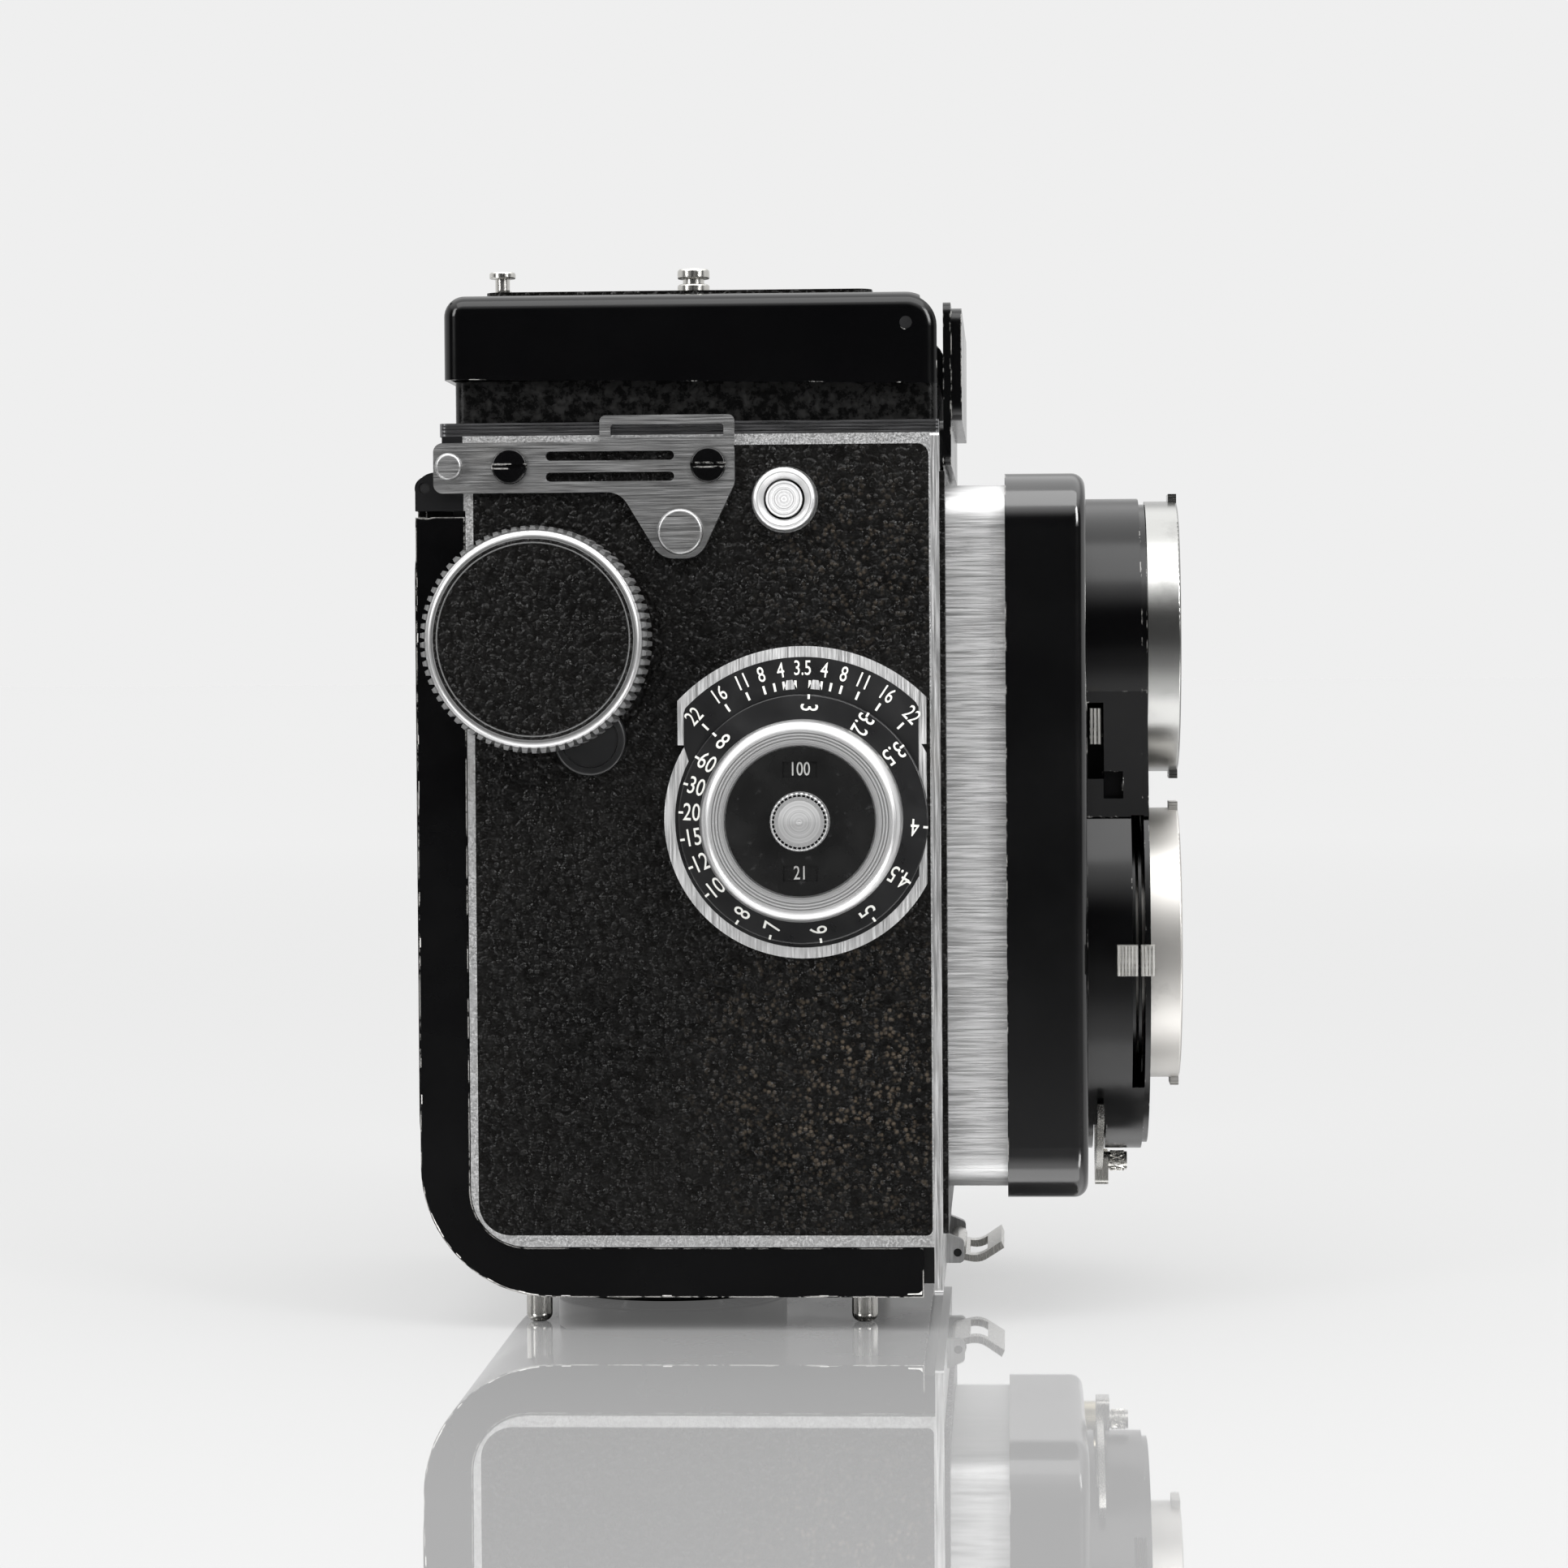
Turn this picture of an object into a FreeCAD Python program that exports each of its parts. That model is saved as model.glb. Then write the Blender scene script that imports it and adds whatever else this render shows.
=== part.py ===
import FreeCAD, Part
import math
import os

# Twin lens reflex camera for roll film, millimetres.
# +X is the way the lenses look, +Y the photographer's left, +Z up.
# The origin lies on the tripod-socket axis, on the plane the feet stand on.
V = FreeCAD.Vector

# ---- overall body ----
SIDE = 38.5            # half width over the leather
SIDE_CORE = 36.3       # half width of the chamber walls inside the door flange
LEATHER = 0.6          # leather thickness
BODY_BACK = -23.2      # rear edge of the bright side wall
BODY_FRONT = 36.95     # front of the casting
BODY_LOW = 11.0        # lower edge of the bright side wall
BODY_TOP = 116.2       # top deck
CORE_BACK = -28.1      # chamber walls reach this far into the door
CORE_LOW = 6.0
PLATE_FRONT = 38.1     # front of the front plate
ROOM = 33.2            # half width of the film rooms
TUNNEL = 28.4          # half width of the two light tunnels

# ---- optics ----
TAKING_Z = 48.0
VIEWING_Z = 90.0
FILM_X = -25.5
MIRROR_SUM = 98.0      # the mirror face is the plane x + z = MIRROR_SUM
MIRROR_GLASS = 1.2

# ---- winding and spools ----
WIND_X, WIND_Z = -13.3, 89.8
SUPPLY_X, SUPPLY_Z = 20.4, 18.9
SPOOL_R = 12.5
SPOOL_HALF = 32.6
KNOB_R = 13.9

# ---- focusing ----
FOCUS_X, FOCUS_Z = 20.4, 66.5
BOX_HALF = 31.5        # light box, half width
BOARD_HALF = 33.6
BOARD_REAR = 46.5
BOARD_FRONT = 57.0
BOARD_LOW, BOARD_TOP = 16.1, 111.3
BOX_LOW, BOX_TOP = 17.6, 109.8
HOUSING_FRONT = 65.4
UPPER_R = 18.9
LOWER_R = 28.2

# ---- release button in the right side ----
BUTTON_X, BUTTON_Z = 18.2, 107.7

# ---- hood ----
LID_BACK, LID_FRONT = -26.1, 38.3
LID_TOP = 134.5
LID_LOW = 123.6
HOOD_PIN = (33.9, 130.4)
FLAP_Z = 122.9
FLAP_Y = 34.6
REAR_FLAP_X, REAR_FLAP_Z = -23.2, 124.4
MAGNIFIER_PIN_X, MAGNIFIER_PIN_Z = 6.4, 131.6

# ---- door ----
DOOR_BACK = -29.8
DOOR_LOW = 4.4
DOOR_PIN = (-28.6, 109.6)
DOOR_TOP = 105.8
LATCH_PIN = (39.6, 6.6)
ROLLERS_Z = (16.6, 78.5)
DOOR_SKIN = 1.2


def to_xz(y):
    return lambda u, v: V(u, y, v)


def to_yz(x):
    return lambda u, v: V(x, u, v)


def to_xy(z):
    return lambda u, v: V(u, v, z)


def rounded_face(corners, place):
    """Flat face through corners (u, v, radius); each corner is rounded by its radius."""
    ends = []
    for i, (u, v, r) in enumerate(corners):
        p = V(u, v, 0)
        before, after = corners[i - 1], corners[(i + 1) % len(corners)]
        a = (V(before[0], before[1], 0) - p).normalize()
        b = (V(after[0], after[1], 0) - p).normalize()
        if r == 0:
            ends.append((p, None, p))
            continue
        half = a.getAngle(b) / 2
        inward = (a + b).normalize()
        middle = p + inward * (r / math.sin(half) - r)
        ends.append((p + a * (r / math.tan(half)), middle, p + b * (r / math.tan(half))))
    edges = []
    for i, (start, middle, end) in enumerate(ends):
        if middle is not None:
            edges.append(Part.Arc(place(start.x, start.y), place(middle.x, middle.y),
                                  place(end.x, end.y)).toShape())
        following = ends[(i + 1) % len(ends)][0]
        if (following - end).Length > 1e-6:
            edges.append(Part.makeLine(place(end.x, end.y), place(following.x, following.y)))
    return Part.Face(Part.Wire(edges))


def slab_y(corners, y0, y1):
    """Outline in X and Z carried from y0 to y1."""
    return rounded_face(corners, to_xz(y0)).extrude(V(0, y1 - y0, 0))


def slab_x(corners, x0, x1):
    """Outline in Y and Z carried from x0 to x1."""
    return rounded_face(corners, to_yz(x0)).extrude(V(x1 - x0, 0, 0))


def slab_z(corners, z0, z1):
    """Outline in X and Y carried from z0 to z1."""
    return rounded_face(corners, to_xy(z0)).extrude(V(0, 0, z1 - z0))


def rect(a0, a1, b0, b1, r=0):
    return [(a0, b0, r), (a1, b0, r), (a1, b1, r), (a0, b1, r)]


def box(x0, x1, y0, y1, z0, z1):
    return Part.makeBox(x1 - x0, y1 - y0, z1 - z0, V(x0, y0, z0))


def rod_x(x0, x1, y, z, r):
    return Part.makeCylinder(r, x1 - x0, V(x0, y, z), V(1, 0, 0))


def rod_y(y0, y1, x, z, r):
    return Part.makeCylinder(r, y1 - y0, V(x, y0, z), V(0, 1, 0))


def rod_z(z0, z1, x, y, r):
    return Part.makeCylinder(r, z1 - z0, V(x, y, z0), V(0, 0, 1))


def turned_y(profile, x, z):
    """Turned piece about an axis along Y; the profile is (y, radius, corner radius)."""
    face = rounded_face([(r, y, c) for y, r, c in profile], lambda u, v: V(x + u, v, z))
    return face.revolve(V(x, 0, z), V(0, 1, 0), 360)


def turned_x(profile, y, z):
    """Turned piece about an axis along X; the profile is (x, radius, corner radius)."""
    face = rounded_face([(x, r, c) for x, r, c in profile], lambda u, v: V(u, y, z + v))
    return face.revolve(V(0, y, z), V(1, 0, 0), 360)


def turned_z(profile, x, y):
    """Turned piece about a vertical axis; the profile is (z, radius, corner radius)."""
    face = rounded_face([(r, z, c) for z, r, c in profile], lambda u, v: V(x + u, y, v))
    return face.revolve(V(x, y, 0), V(0, 0, 1), 360)


def join(*shapes):
    out = shapes[0]
    if len(shapes) > 1:
        out = out.fuse(list(shapes[1:]))
    return out.removeSplitter()


def cut(shape, *tools):
    return shape.cut(list(tools)).removeSplitter()


def both_sides(shape):
    """The shape and its mirror image across the middle plane."""
    return [shape, shape.mirror(V(0, 0, 0), V(0, 1, 0))]


def group(shapes):
    return Part.makeCompound(shapes)


# ------------------------------------------------------------------ body

def side_outline(inset=0.0, back=BODY_BACK):
    """Outline of the bright side wall, rounded where the door wraps round it."""
    return [(back + inset, BODY_LOW + inset, 7.3 - inset), (BODY_FRONT - inset, BODY_LOW + inset, 0),
            (BODY_FRONT - inset, BODY_TOP - inset, 0), (back + inset, BODY_TOP - inset, 0)]


def mirror_line(offset):
    """Sum x + z of the plane lying `offset` behind the mirror face."""
    return MIRROR_SUM - offset * math.sqrt(2)


def body_shell():
    """Cast body: two side walls, septum, film rooms and light tunnels."""
    core = [(CORE_BACK, CORE_LOW, 15.4), (BODY_FRONT, CORE_LOW, 0), (BODY_FRONT, 108.0, 0),
            (CORE_BACK, 108.0, 0)]
    rear_deck = box(-26.2, BODY_BACK, -SIDE, SIDE, 112.2, BODY_TOP)
    x, z = DOOR_PIN
    cheek = join(slab_y([(DOOR_BACK, z - 3.0, 0), (DOOR_BACK, 111.6, 2.6), (BODY_BACK, 111.6, 0),
                         (BODY_BACK, z - 3.0, 0)], -38.0, -36.2),
                 box(-26.4, BODY_BACK, -38.0, -36.2, 111.0, 112.5))
    cheek = cut(cheek, cut(box(-40, x, -40, -30, 100, 120), rod_y(-41, -29, x, z, 3.6)))
    shape = join(slab_y(side_outline(), -SIDE, SIDE), slab_y(core, -SIDE_CORE, SIDE_CORE), rear_deck)
    leather = slab_y(leather_outline(), SIDE - LEATHER, SIDE + 1)
    back = mirror_line(MIRROR_GLASS)
    tools = both_sides(leather)
    # take-up room, open to the rear, and the supply room, open below
    tools += [rod_y(-ROOM, ROOM, WIND_X, WIND_Z, 12.95),
              box(CORE_BACK - 1, WIND_X, -ROOM, ROOM, WIND_Z - 12.95, WIND_Z + 12.95),
              box(CORE_BACK - 1, FILM_X, -ROOM, ROOM, 12, WIND_Z),
              rod_y(-ROOM, ROOM, SUPPLY_X, SUPPLY_Z, 13.0),
              box(SUPPLY_X - 13, SUPPLY_X + 13, -ROOM, ROOM, CORE_LOW - 1, SUPPLY_Z),
              box(CORE_BACK - 1, SUPPLY_X, -ROOM, ROOM, CORE_LOW - 1, 14.0)]
    # exposure tunnel narrowing from the film gate to the lens
    tunnel = [(FILM_X - 1, 20.6, 0), (0, 20.6, 0), (13.5, 33.6, 0), (BODY_FRONT + 1, 33.6, 0),
              (BODY_FRONT + 1, 63.0, 0), (FILM_X - 1, 75.4, 0)]
    tools.append(slab_y(tunnel, -TUNNEL, TUNNEL))
    # finder chamber over the mirror, open at the top and the front
    finder = [(back - 116.5, BODY_TOP + 1, 0), (back - BODY_TOP + 0.3, BODY_TOP - 0.3, 0),
              (back - 67.0, 67.0, 0), (34.6, 67.0, 0), (34.6, BODY_TOP + 1, 0)]
    tools.append(slab_y(finder, -TUNNEL, TUNNEL))
    tools.append(slab_x(rect(-26, 26, 69, 108, 4), 34, BODY_FRONT + 1))
    for z in ROLLERS_Z:
        tools += [rod_y(-ROOM, ROOM, FILM_X + 1.3, z, 2.1), rod_y(-34.6, 34.6, FILM_X + 1.3, z, 0.95)]
    # shaft bores
    tools += [rod_y(-SIDE - 1, -ROOM + 1, WIND_X, WIND_Z, 3.05),
              rod_y(ROOM - 1, SIDE + 1, WIND_X, WIND_Z, 3.05),
              rod_y(ROOM - 1, SIDE + 1, SUPPLY_X, SUPPLY_Z, 3.05),
              rod_y(-SIDE - 1, -TUNNEL + 1, FOCUS_X, FOCUS_Z, 3.05),
              rod_y(-SIDE - 1, -SIDE + 3.0, BUTTON_X, BUTTON_Z, 2.6)]
    # room for the door knuckle along the rear top edge
    tools.append(box(-40, -25.0, -SIDE - 1, SIDE + 1, DOOR_TOP + 0.2, 112.2))
    pivot = rod_y(-ROOM - 0.5, -SPOOL_HALF + 2.0, SUPPLY_X, SUPPLY_Z, 2.2)
    whole = join(cut(shape, *tools), pivot, *both_sides(cheek))
    return cut(whole, rod_y(-40, 40, DOOR_PIN[0], DOOR_PIN[1], 0.72))


def leather_outline():
    front = BODY_FRONT - 0.2
    return [(-22.2, 12.5, 4.2), (front, 12.5, 0.8), (front, 114.8, 1.5), (-22.2, 114.8, 1.5)]


def body_leather():
    """Leather panels let into the two side walls."""
    right, left = both_sides(slab_y(leather_outline(), -SIDE, -SIDE + LEATHER))
    right = cut(right, rod_y(-SIDE - 1, 0, WIND_X, WIND_Z, 3.6), rod_y(-SIDE - 1, 0, FOCUS_X, FOCUS_Z, 3.6),
                rod_y(-SIDE - 1, 0, BUTTON_X, BUTTON_Z, 4.3))
    left = cut(left, rod_y(0, SIDE + 1, WIND_X, WIND_Z, 5.6), rod_y(0, SIDE + 1, SUPPLY_X, SUPPLY_Z, 5.6))
    return group([right, left])


def film_gate():
    """Bright frame with two rails that the film runs over."""
    frame = box(FILM_X - 0.9, FILM_X, -ROOM + 0.3, ROOM - 0.3, 20.4, 76.0)
    rails = [box(FILM_X - 1.3, FILM_X - 0.8, y - 0.7, y + 0.7, 20.4, 76.0) for y in (-31, 31)]
    return cut(join(frame, *rails), box(FILM_X - 2, FILM_X + 1, -TUNNEL, TUNNEL, 20.8, 75.2))


def film_roller(z):
    """Roller guiding the film round one edge of the gate."""
    return join(rod_y(-31.5, 31.5, FILM_X + 1.3, z, 1.6), rod_y(-34.3, 34.3, FILM_X + 1.3, z, 0.9))


def front_plate():
    """Plate closing the front of the casting, with two lugs for the latch."""
    shape = slab_x(rect(-SIDE, SIDE, 5.0, 116.2, 0.5), BODY_FRONT, PLATE_FRONT)
    seat = slab_x(rect(-BOX_HALF + 1.5, BOX_HALF - 1.5, 20, 107, 4), 36, 39)
    x, z = LATCH_PIN
    lug = slab_y([(PLATE_FRONT - 0.5, 5.2, 0), (x + 0.9, 5.2, 0.7), (x + 0.9, 8.2, 0.7),
                  (PLATE_FRONT - 0.5, 9.4, 0)], -11.0, -9.4)
    return cut(join(shape, *both_sides(lug)), seat, rod_y(-12, 12, x, z, 0.57))


def front_leather():
    """Leather round the light box on the front plate."""
    sheet = slab_x(rect(-38.1, 38.1, 12.6, 112.0, 1), PLATE_FRONT, PLATE_FRONT + 0.7)
    return cut(sheet, slab_x(rect(-BOX_HALF - 0.2, BOX_HALF + 0.2, BOX_LOW - 0.2, BOX_TOP + 0.2, 5), 38, 39),
               box(38, 39, -SIDE, SIDE, 111.2, 113))


def light_box():
    """Bright rectangular tunnel the lens board slides over."""
    outer = slab_x(rect(-BOX_HALF, BOX_HALF, BOX_LOW, BOX_TOP, 5), PLATE_FRONT, 47.8)
    inner = slab_x(rect(-BOX_HALF + 1.2, BOX_HALF - 1.2, BOX_LOW + 1.2, BOX_TOP - 1.2, 3.8), 38, 49)
    return cut(outer, inner)


def reflex_mirror():
    """Front-silvered mirror leaning at 45 degrees on the septum."""
    low, high = 69.0, 114.6
    back = mirror_line(MIRROR_GLASS)
    corners = [(back - low, low, 0), (MIRROR_SUM - low, low, 0), (MIRROR_SUM - high, high, 0),
               (back - high, high, 0)]
    return slab_y(corners, -28.0, 28.0)


def focusing_screen():
    """Ground glass under the hood."""
    return box(-20.6, 35.6, -29.6, 29.6, 118.9, 120.4)


def top_trim():
    """Grooved trim frame between the body and the hood."""
    corners = [(-26.6, -SIDE + 0.4, 1), (PLATE_FRONT, -SIDE + 0.4, 0.5), (PLATE_FRONT, SIDE - 0.4, 0.5),
               (-26.6, SIDE - 0.4, 1)]
    shape = slab_z(corners, BODY_TOP, 117.9)
    grooves = []
    for z in (116.55, 117.0, 117.45):
        grooves += both_sides(box(-30, 40, -SIDE, -SIDE + 0.65, z, z + 0.2))
    opening = box(-19.8, 33.6, -TUNNEL, TUNNEL, 116, 118)
    return cut(shape, opening, *grooves)


def hood_base():
    """Low black frame that carries the screen, the hood leaves and the lid posts."""
    outer = slab_z(rect(-24.8, 37.9, -36.2, 36.2, 1.5), 117.9, 123.4)
    well = box(-24.2, 37.3, -35.6, 35.6, 121.6, 124)
    light = box(-19.4, 33.2, -28.0, 28.0, 117, 122)
    screen_seat = box(-20.9, 35.9, -29.9, 29.9, 118.9, 123)
    x = HOOD_PIN[0]
    post = slab_y([(x - 2.9, 121.0, 0), (x + 2.9, 121.0, 0), (x + 2.9, 132.8, 2.85), (x - 2.9, 132.8, 2.85)],
                  -36.0, -35.2)
    bump = cut(rod_z(120.8, 122.8, -24.3, 0, 2.9), box(-24.3, 0, -4, 4, 120, 124))
    return cut(join(cut(outer, well), bump, *both_sides(post)), light, screen_seat,
               rod_y(-37, 37, HOOD_PIN[0], HOOD_PIN[1], 0.82))


def hinge_pins():
    """Pins of the lid, the door and the latch."""
    lid = both_sides(rod_y(-37.9, -34.2, HOOD_PIN[0], HOOD_PIN[1], 0.8))
    door = rod_y(-37.8, 37.8, DOOR_PIN[0], DOOR_PIN[1], 0.7)
    latch = rod_y(-11, 11, LATCH_PIN[0], LATCH_PIN[1], 0.55)
    return group(lid + [door, latch])


def name_plate():
    """Blank name plate on its bracket in front of the hood."""
    plate = slab_x(rect(-31, 31, 118.2, 132.8, 2), 39.6, 41.0)
    backing = slab_x(rect(-33, 33, 112.2, 133.4, 1.5), 38.6, 39.6)
    foot = slab_x(rect(-33, 33, 111.6, 118.0, 1.5), PLATE_FRONT, 38.6)
    return join(plate, backing, foot)


# ------------------------------------------------------------------ side fittings

def strap_plate():
    """Strap plate: slotted bar with a tongue below, a loop above and two riveted studs."""
    outline = [(-27.2, 108.8, 1.2), (-3.0, 108.8, 3), (2.2, 100.2, 3), (7.2, 100.2, 3),
               (11.8, 109.8, 2), (11.8, 115.3, 1.2), (-27.2, 115.3, 1.2)]
    y0, y1 = -SIDE - 1.1, -SIDE
    shape = slab_y(outline, y0, y1)
    loop = slab_y(rect(-5.6, 11.8, 114.4, 118.7, 0.8), y0, y1)
    window = slab_y(rect(-4.2, 10.4, 115.8, 117.5, 0.4), y0 - 1, y1 + 1)
    slots = [slab_y(rect(-12.6, 4.0, z - 0.6, z + 0.6, 0.59), y0 - 1, y1 + 1) for z in (113.5, 110.8)]
    studs = [turned_y([(y1 - 0.5, 0, 0), (y1 - 0.5, r, 0), (y0 - 1.4, r, 0.5), (y0 - 1.4, 0, 0)], x, z)
             for x, z, r in ((-25.1, 112.2, 1.8), (4.8, 103.6, 3.0))]
    return join(cut(join(shape, loop), window, *slots), *studs)


def strap_screws():
    """Slotted screws holding the two strap plates."""
    out = []
    for x in (-17.3, 8.4):
        head = turned_y([(-SIDE - 1.1, 0, 0), (-SIDE - 1.1, 2.3, 0), (-SIDE - 1.7, 2.3, 0.3),
                         (-SIDE - 1.7, 0, 0)], x, 112.2)
        slot = box(x - 3, x + 3, -SIDE - 2, -SIDE - 1.4, 111.95, 112.45)
        out += both_sides(cut(head, slot))
    return group(out)


def button_collar():
    """Turned collar round the side release button."""
    return turned_y([(-SIDE + 0.6, 2.65, 0), (-SIDE + 0.6, 4.1, 0), (-SIDE - 2.4, 4.1, 0.6),
                     (-SIDE - 2.4, 3.4, 0), (-SIDE - 1.6, 2.65, 0)], BUTTON_X, BUTTON_Z)


def side_button():
    """Button sliding in its collar."""
    return join(rod_y(-SIDE - 1.9, -SIDE + 1.5, BUTTON_X, BUTTON_Z, 2.35))


def counter_window():
    """Ring and glass of the exposure counter, half hidden by the winding knob."""
    return turned_y([(-SIDE - 0.7, 0, 0), (-SIDE, 0, 0), (-SIDE, 4.7, 0), (-SIDE - 1.0, 4.7, 0.4),
                     (-SIDE - 1.0, 3.7, 0), (-SIDE - 0.7, 3.6, 0)], -7.2, 76.9)


def depth_scale_plate():
    """Bright dial plate: a round seat with a wider shield above."""
    seat = rod_y(-SIDE - 0.9, -SIDE, FOCUS_X, FOCUS_Z, 18.0)
    shield = cut(rod_y(-SIDE - 0.9, -SIDE, FOCUS_X, FOCUS_Z, 22.3),
                 box(-10, 60, -SIDE - 2, 0, 30, FOCUS_Z + 9.6),
                 box(-10, 4.2, -SIDE - 2, 0, 30, 100), box(36.3, 60, -SIDE - 2, 0, 30, 100))
    plate = cut(join(seat, shield), box(36.3, 60, -SIDE - 2, 0, 30, 100),
                rod_y(-SIDE - 2, 0, FOCUS_X, FOCUS_Z, 3.6))
    return plate


# ------------------------------------------------------------------ winding

def winding_knob():
    """Large knurled knob on a shaft with a key that turns the take-up spool."""
    y_back = -SIDE - 2.2
    rim = turned_y([(y_back, 0, 0), (y_back, KNOB_R, 0.4), (-50.0, KNOB_R, 0.9), (-50.0, 12.2, 0),
                    (-49.4, 12.2, 0), (-49.4, 0, 0)], WIND_X, WIND_Z)
    shaft = rod_y(y_back - 1, -ROOM, WIND_X, WIND_Z, 3.0)
    key = box(WIND_X - 2.6, WIND_X + 2.6, -ROOM - 0.5, -ROOM + 2.2, WIND_Z - 0.7, WIND_Z + 0.7)
    return join(rim, shaft, key)


def winding_knob_leather():
    """Leather disc in the face of the winding knob."""
    return rod_y(-49.9, -49.4, WIND_X, WIND_Z, 12.1)


def spool(x, z, keyed):
    """Film spool: two flanges on a hollow-ended core; a keyed end has a driving slot."""
    half = SPOOL_HALF
    core = rod_y(-half, half, x, z, 4.2)
    flanges = [rod_y(-half, -half + 0.9, x, z, SPOOL_R), rod_y(half - 0.9, half, x, z, SPOOL_R)]
    right_end = rod_y(-half - 1, -half + 2.6, x, z, 2.6)
    if keyed:
        right_end = box(x - 3.0, x + 3.0, -half - 1, -half + 2.6, z - 1.1, z + 1.1)
    left_end = rod_y(half - 2.6, half + 1, x, z, 2.6)
    return cut(join(core, *flanges), box(x - 0.6, x + 0.6, -22, 22, z - 6, z + 6), right_end, left_end)


def spool_knob(x, z):
    """Pull-out knob whose nose holds one end of a spool."""
    head = turned_y([(SIDE - 0.2, 0, 0), (SIDE - 0.2, 5.2, 0), (SIDE + 0.9, 5.2, 0), (SIDE + 0.9, 8.8, 0.3),
                     (SIDE + 4.6, 8.8, 0.8), (SIDE + 4.6, 0, 0)], x, z)
    return join(head, rod_y(SPOOL_HALF + 0.4, SIDE, x, z, 3.0),
                rod_y(SPOOL_HALF - 2.0, SPOOL_HALF + 0.5, x, z, 2.2))


# ------------------------------------------------------------------ focusing drive

def focus_knob():
    """Stepped focusing knob with its shaft."""
    grip = turned_y([(-SIDE - 1.9, 0, 0), (-SIDE - 1.9, 12.9, 0), (-SIDE - 10.2, 12.9, 1.6),
                     (-SIDE - 10.2, 9.7, 0), (-SIDE - 9.6, 9.7, 0), (-SIDE - 9.6, 0, 0)],
                    FOCUS_X, FOCUS_Z)
    return join(grip, rod_y(-SIDE - 3, -TUNNEL - 3, FOCUS_X, FOCUS_Z, 3.0))


def distance_ring():
    """Flat black distance scale that turns with the focusing knob."""
    return turned_y([(-SIDE - 1.2, 3.2, 0), (-SIDE - 1.2, 16.1, 0), (-SIDE - 1.9, 16.1, 0.2),
                     (-SIDE - 1.9, 3.2, 0)], FOCUS_X, FOCUS_Z)


def film_speed_disc():
    """Reminder disc with two windows, turned by the small knob on its middle."""
    y = -SIDE - 9.7
    disc = rod_y(y - 0.5, y, FOCUS_X, FOCUS_Z, 9.5)
    knob = turned_y([(y - 0.4, 0, 0), (y - 0.4, 3.75, 0), (y - 2.4, 3.75, 0.3), (y - 2.4, 2.7, 0),
                     (y - 3.0, 0, 0)], FOCUS_X, FOCUS_Z)
    windows = [box(FOCUS_X - 2.2, FOCUS_X + 2.2, y - 1, y - 0.3, FOCUS_Z + dz - 1, FOCUS_Z + dz + 1)
               for dz in (6.6, -6.6)]
    return cut(join(disc, knob), *windows)


# ------------------------------------------------------------------ lens board

def board_outline(inset):
    return rect(-BOARD_HALF + inset, BOARD_HALF - inset, BOARD_LOW + inset, BOARD_TOP - inset, 7.2 - inset)


def figure_eight(grow, x0, x1):
    """Two joined discs, the lower one larger, with straight flanks between them."""
    upper = rod_x(x0, x1, 0, VIEWING_Z, UPPER_R + grow)
    lower = rod_x(x0, x1, 0, TAKING_Z, LOWER_R + grow)
    neck = slab_x([(-22 - grow, 66, 0), (22 + grow, 66, 0), (17 + grow, 84, 0), (-17 - grow, 84, 0)],
                  x0, x1)
    return join(upper, lower, neck)


def lens_board_shell():
    """Black sheet-metal lens board with a skirt that slides over the light box."""
    outer = slab_x(board_outline(0), BOARD_REAR, BOARD_FRONT)
    rim = [e for e in outer.Edges if abs(e.CenterOfMass.x - BOARD_FRONT) < 0.01]
    outer = outer.makeFillet(1.8, rim)
    hollow = slab_x(board_outline(1.2), BOARD_REAR - 1, BOARD_FRONT - 1.6)
    holes = [rod_x(40, 70, 0, VIEWING_Z, 15.2), rod_x(40, 70, 0, TAKING_Z, 15.2)]
    return cut(outer, hollow, *holes)


def shutter_housing():
    """Figure-eight cover round both lenses with a slot for the setting levers."""
    shape = join(figure_eight(0, BOARD_FRONT, HOUSING_FRONT - 0.8),
                 figure_eight(-0.8, HOUSING_FRONT - 0.9, HOUSING_FRONT))
    hollow = [rod_x(BOARD_FRONT - 1, HOUSING_FRONT - 0.6, 0, TAKING_Z, LOWER_R - 1.3),
              rod_x(BOARD_FRONT - 1, HOUSING_FRONT - 0.8, 0, VIEWING_Z, 17.4),
              rod_x(50, 70, 0, TAKING_Z, 18.0), rod_x(50, 70, 0, VIEWING_Z, 16.0)]
    lever_slot = box(63.0, 64.7, -30, -12, 30.0, 66.2)
    number_window = box(59.4, 62.0, -30, -19.4, 68.4, 72.0)
    release_slot = box(58.0, 59.7, -15.5, 15.5, 17, 27)
    sync_slot = box(57.3, 59.5, -22, -14, 71.0, 81.1)
    return cut(shape, *hollow, lever_slot, number_window, release_slot, sync_slot)


def lens_barrel(z, front):
    """Bayonet barrel with its collar and two lugs."""
    barrel = turned_x([(BOARD_FRONT - 1.5, 12.6, 0), (BOARD_FRONT - 1.5, 15.1, 0), (BOARD_FRONT, 15.1, 0),
                       (HOUSING_FRONT - 1.2, 15.1, 0), (HOUSING_FRONT - 1.2, 15.8, 0),
                       (HOUSING_FRONT + 0.1, 15.8, 0), (HOUSING_FRONT + 0.1, 18.5, 0),
                       (front, 18.5, 0.3), (front, 16.6, 0), (front - 2.0, 16.6, 0),
                       (HOUSING_FRONT + 0.6, 12.6, 0)], 0, z)
    lugs = [box(front - 1.2, front - 0.05, -3.0, 3.0, z + 18, z + 19.4),
            box(front - 1.2, front - 0.05, -3.0, 3.0, z - 19.4, z - 18)]
    return join(barrel, *lugs)


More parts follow.
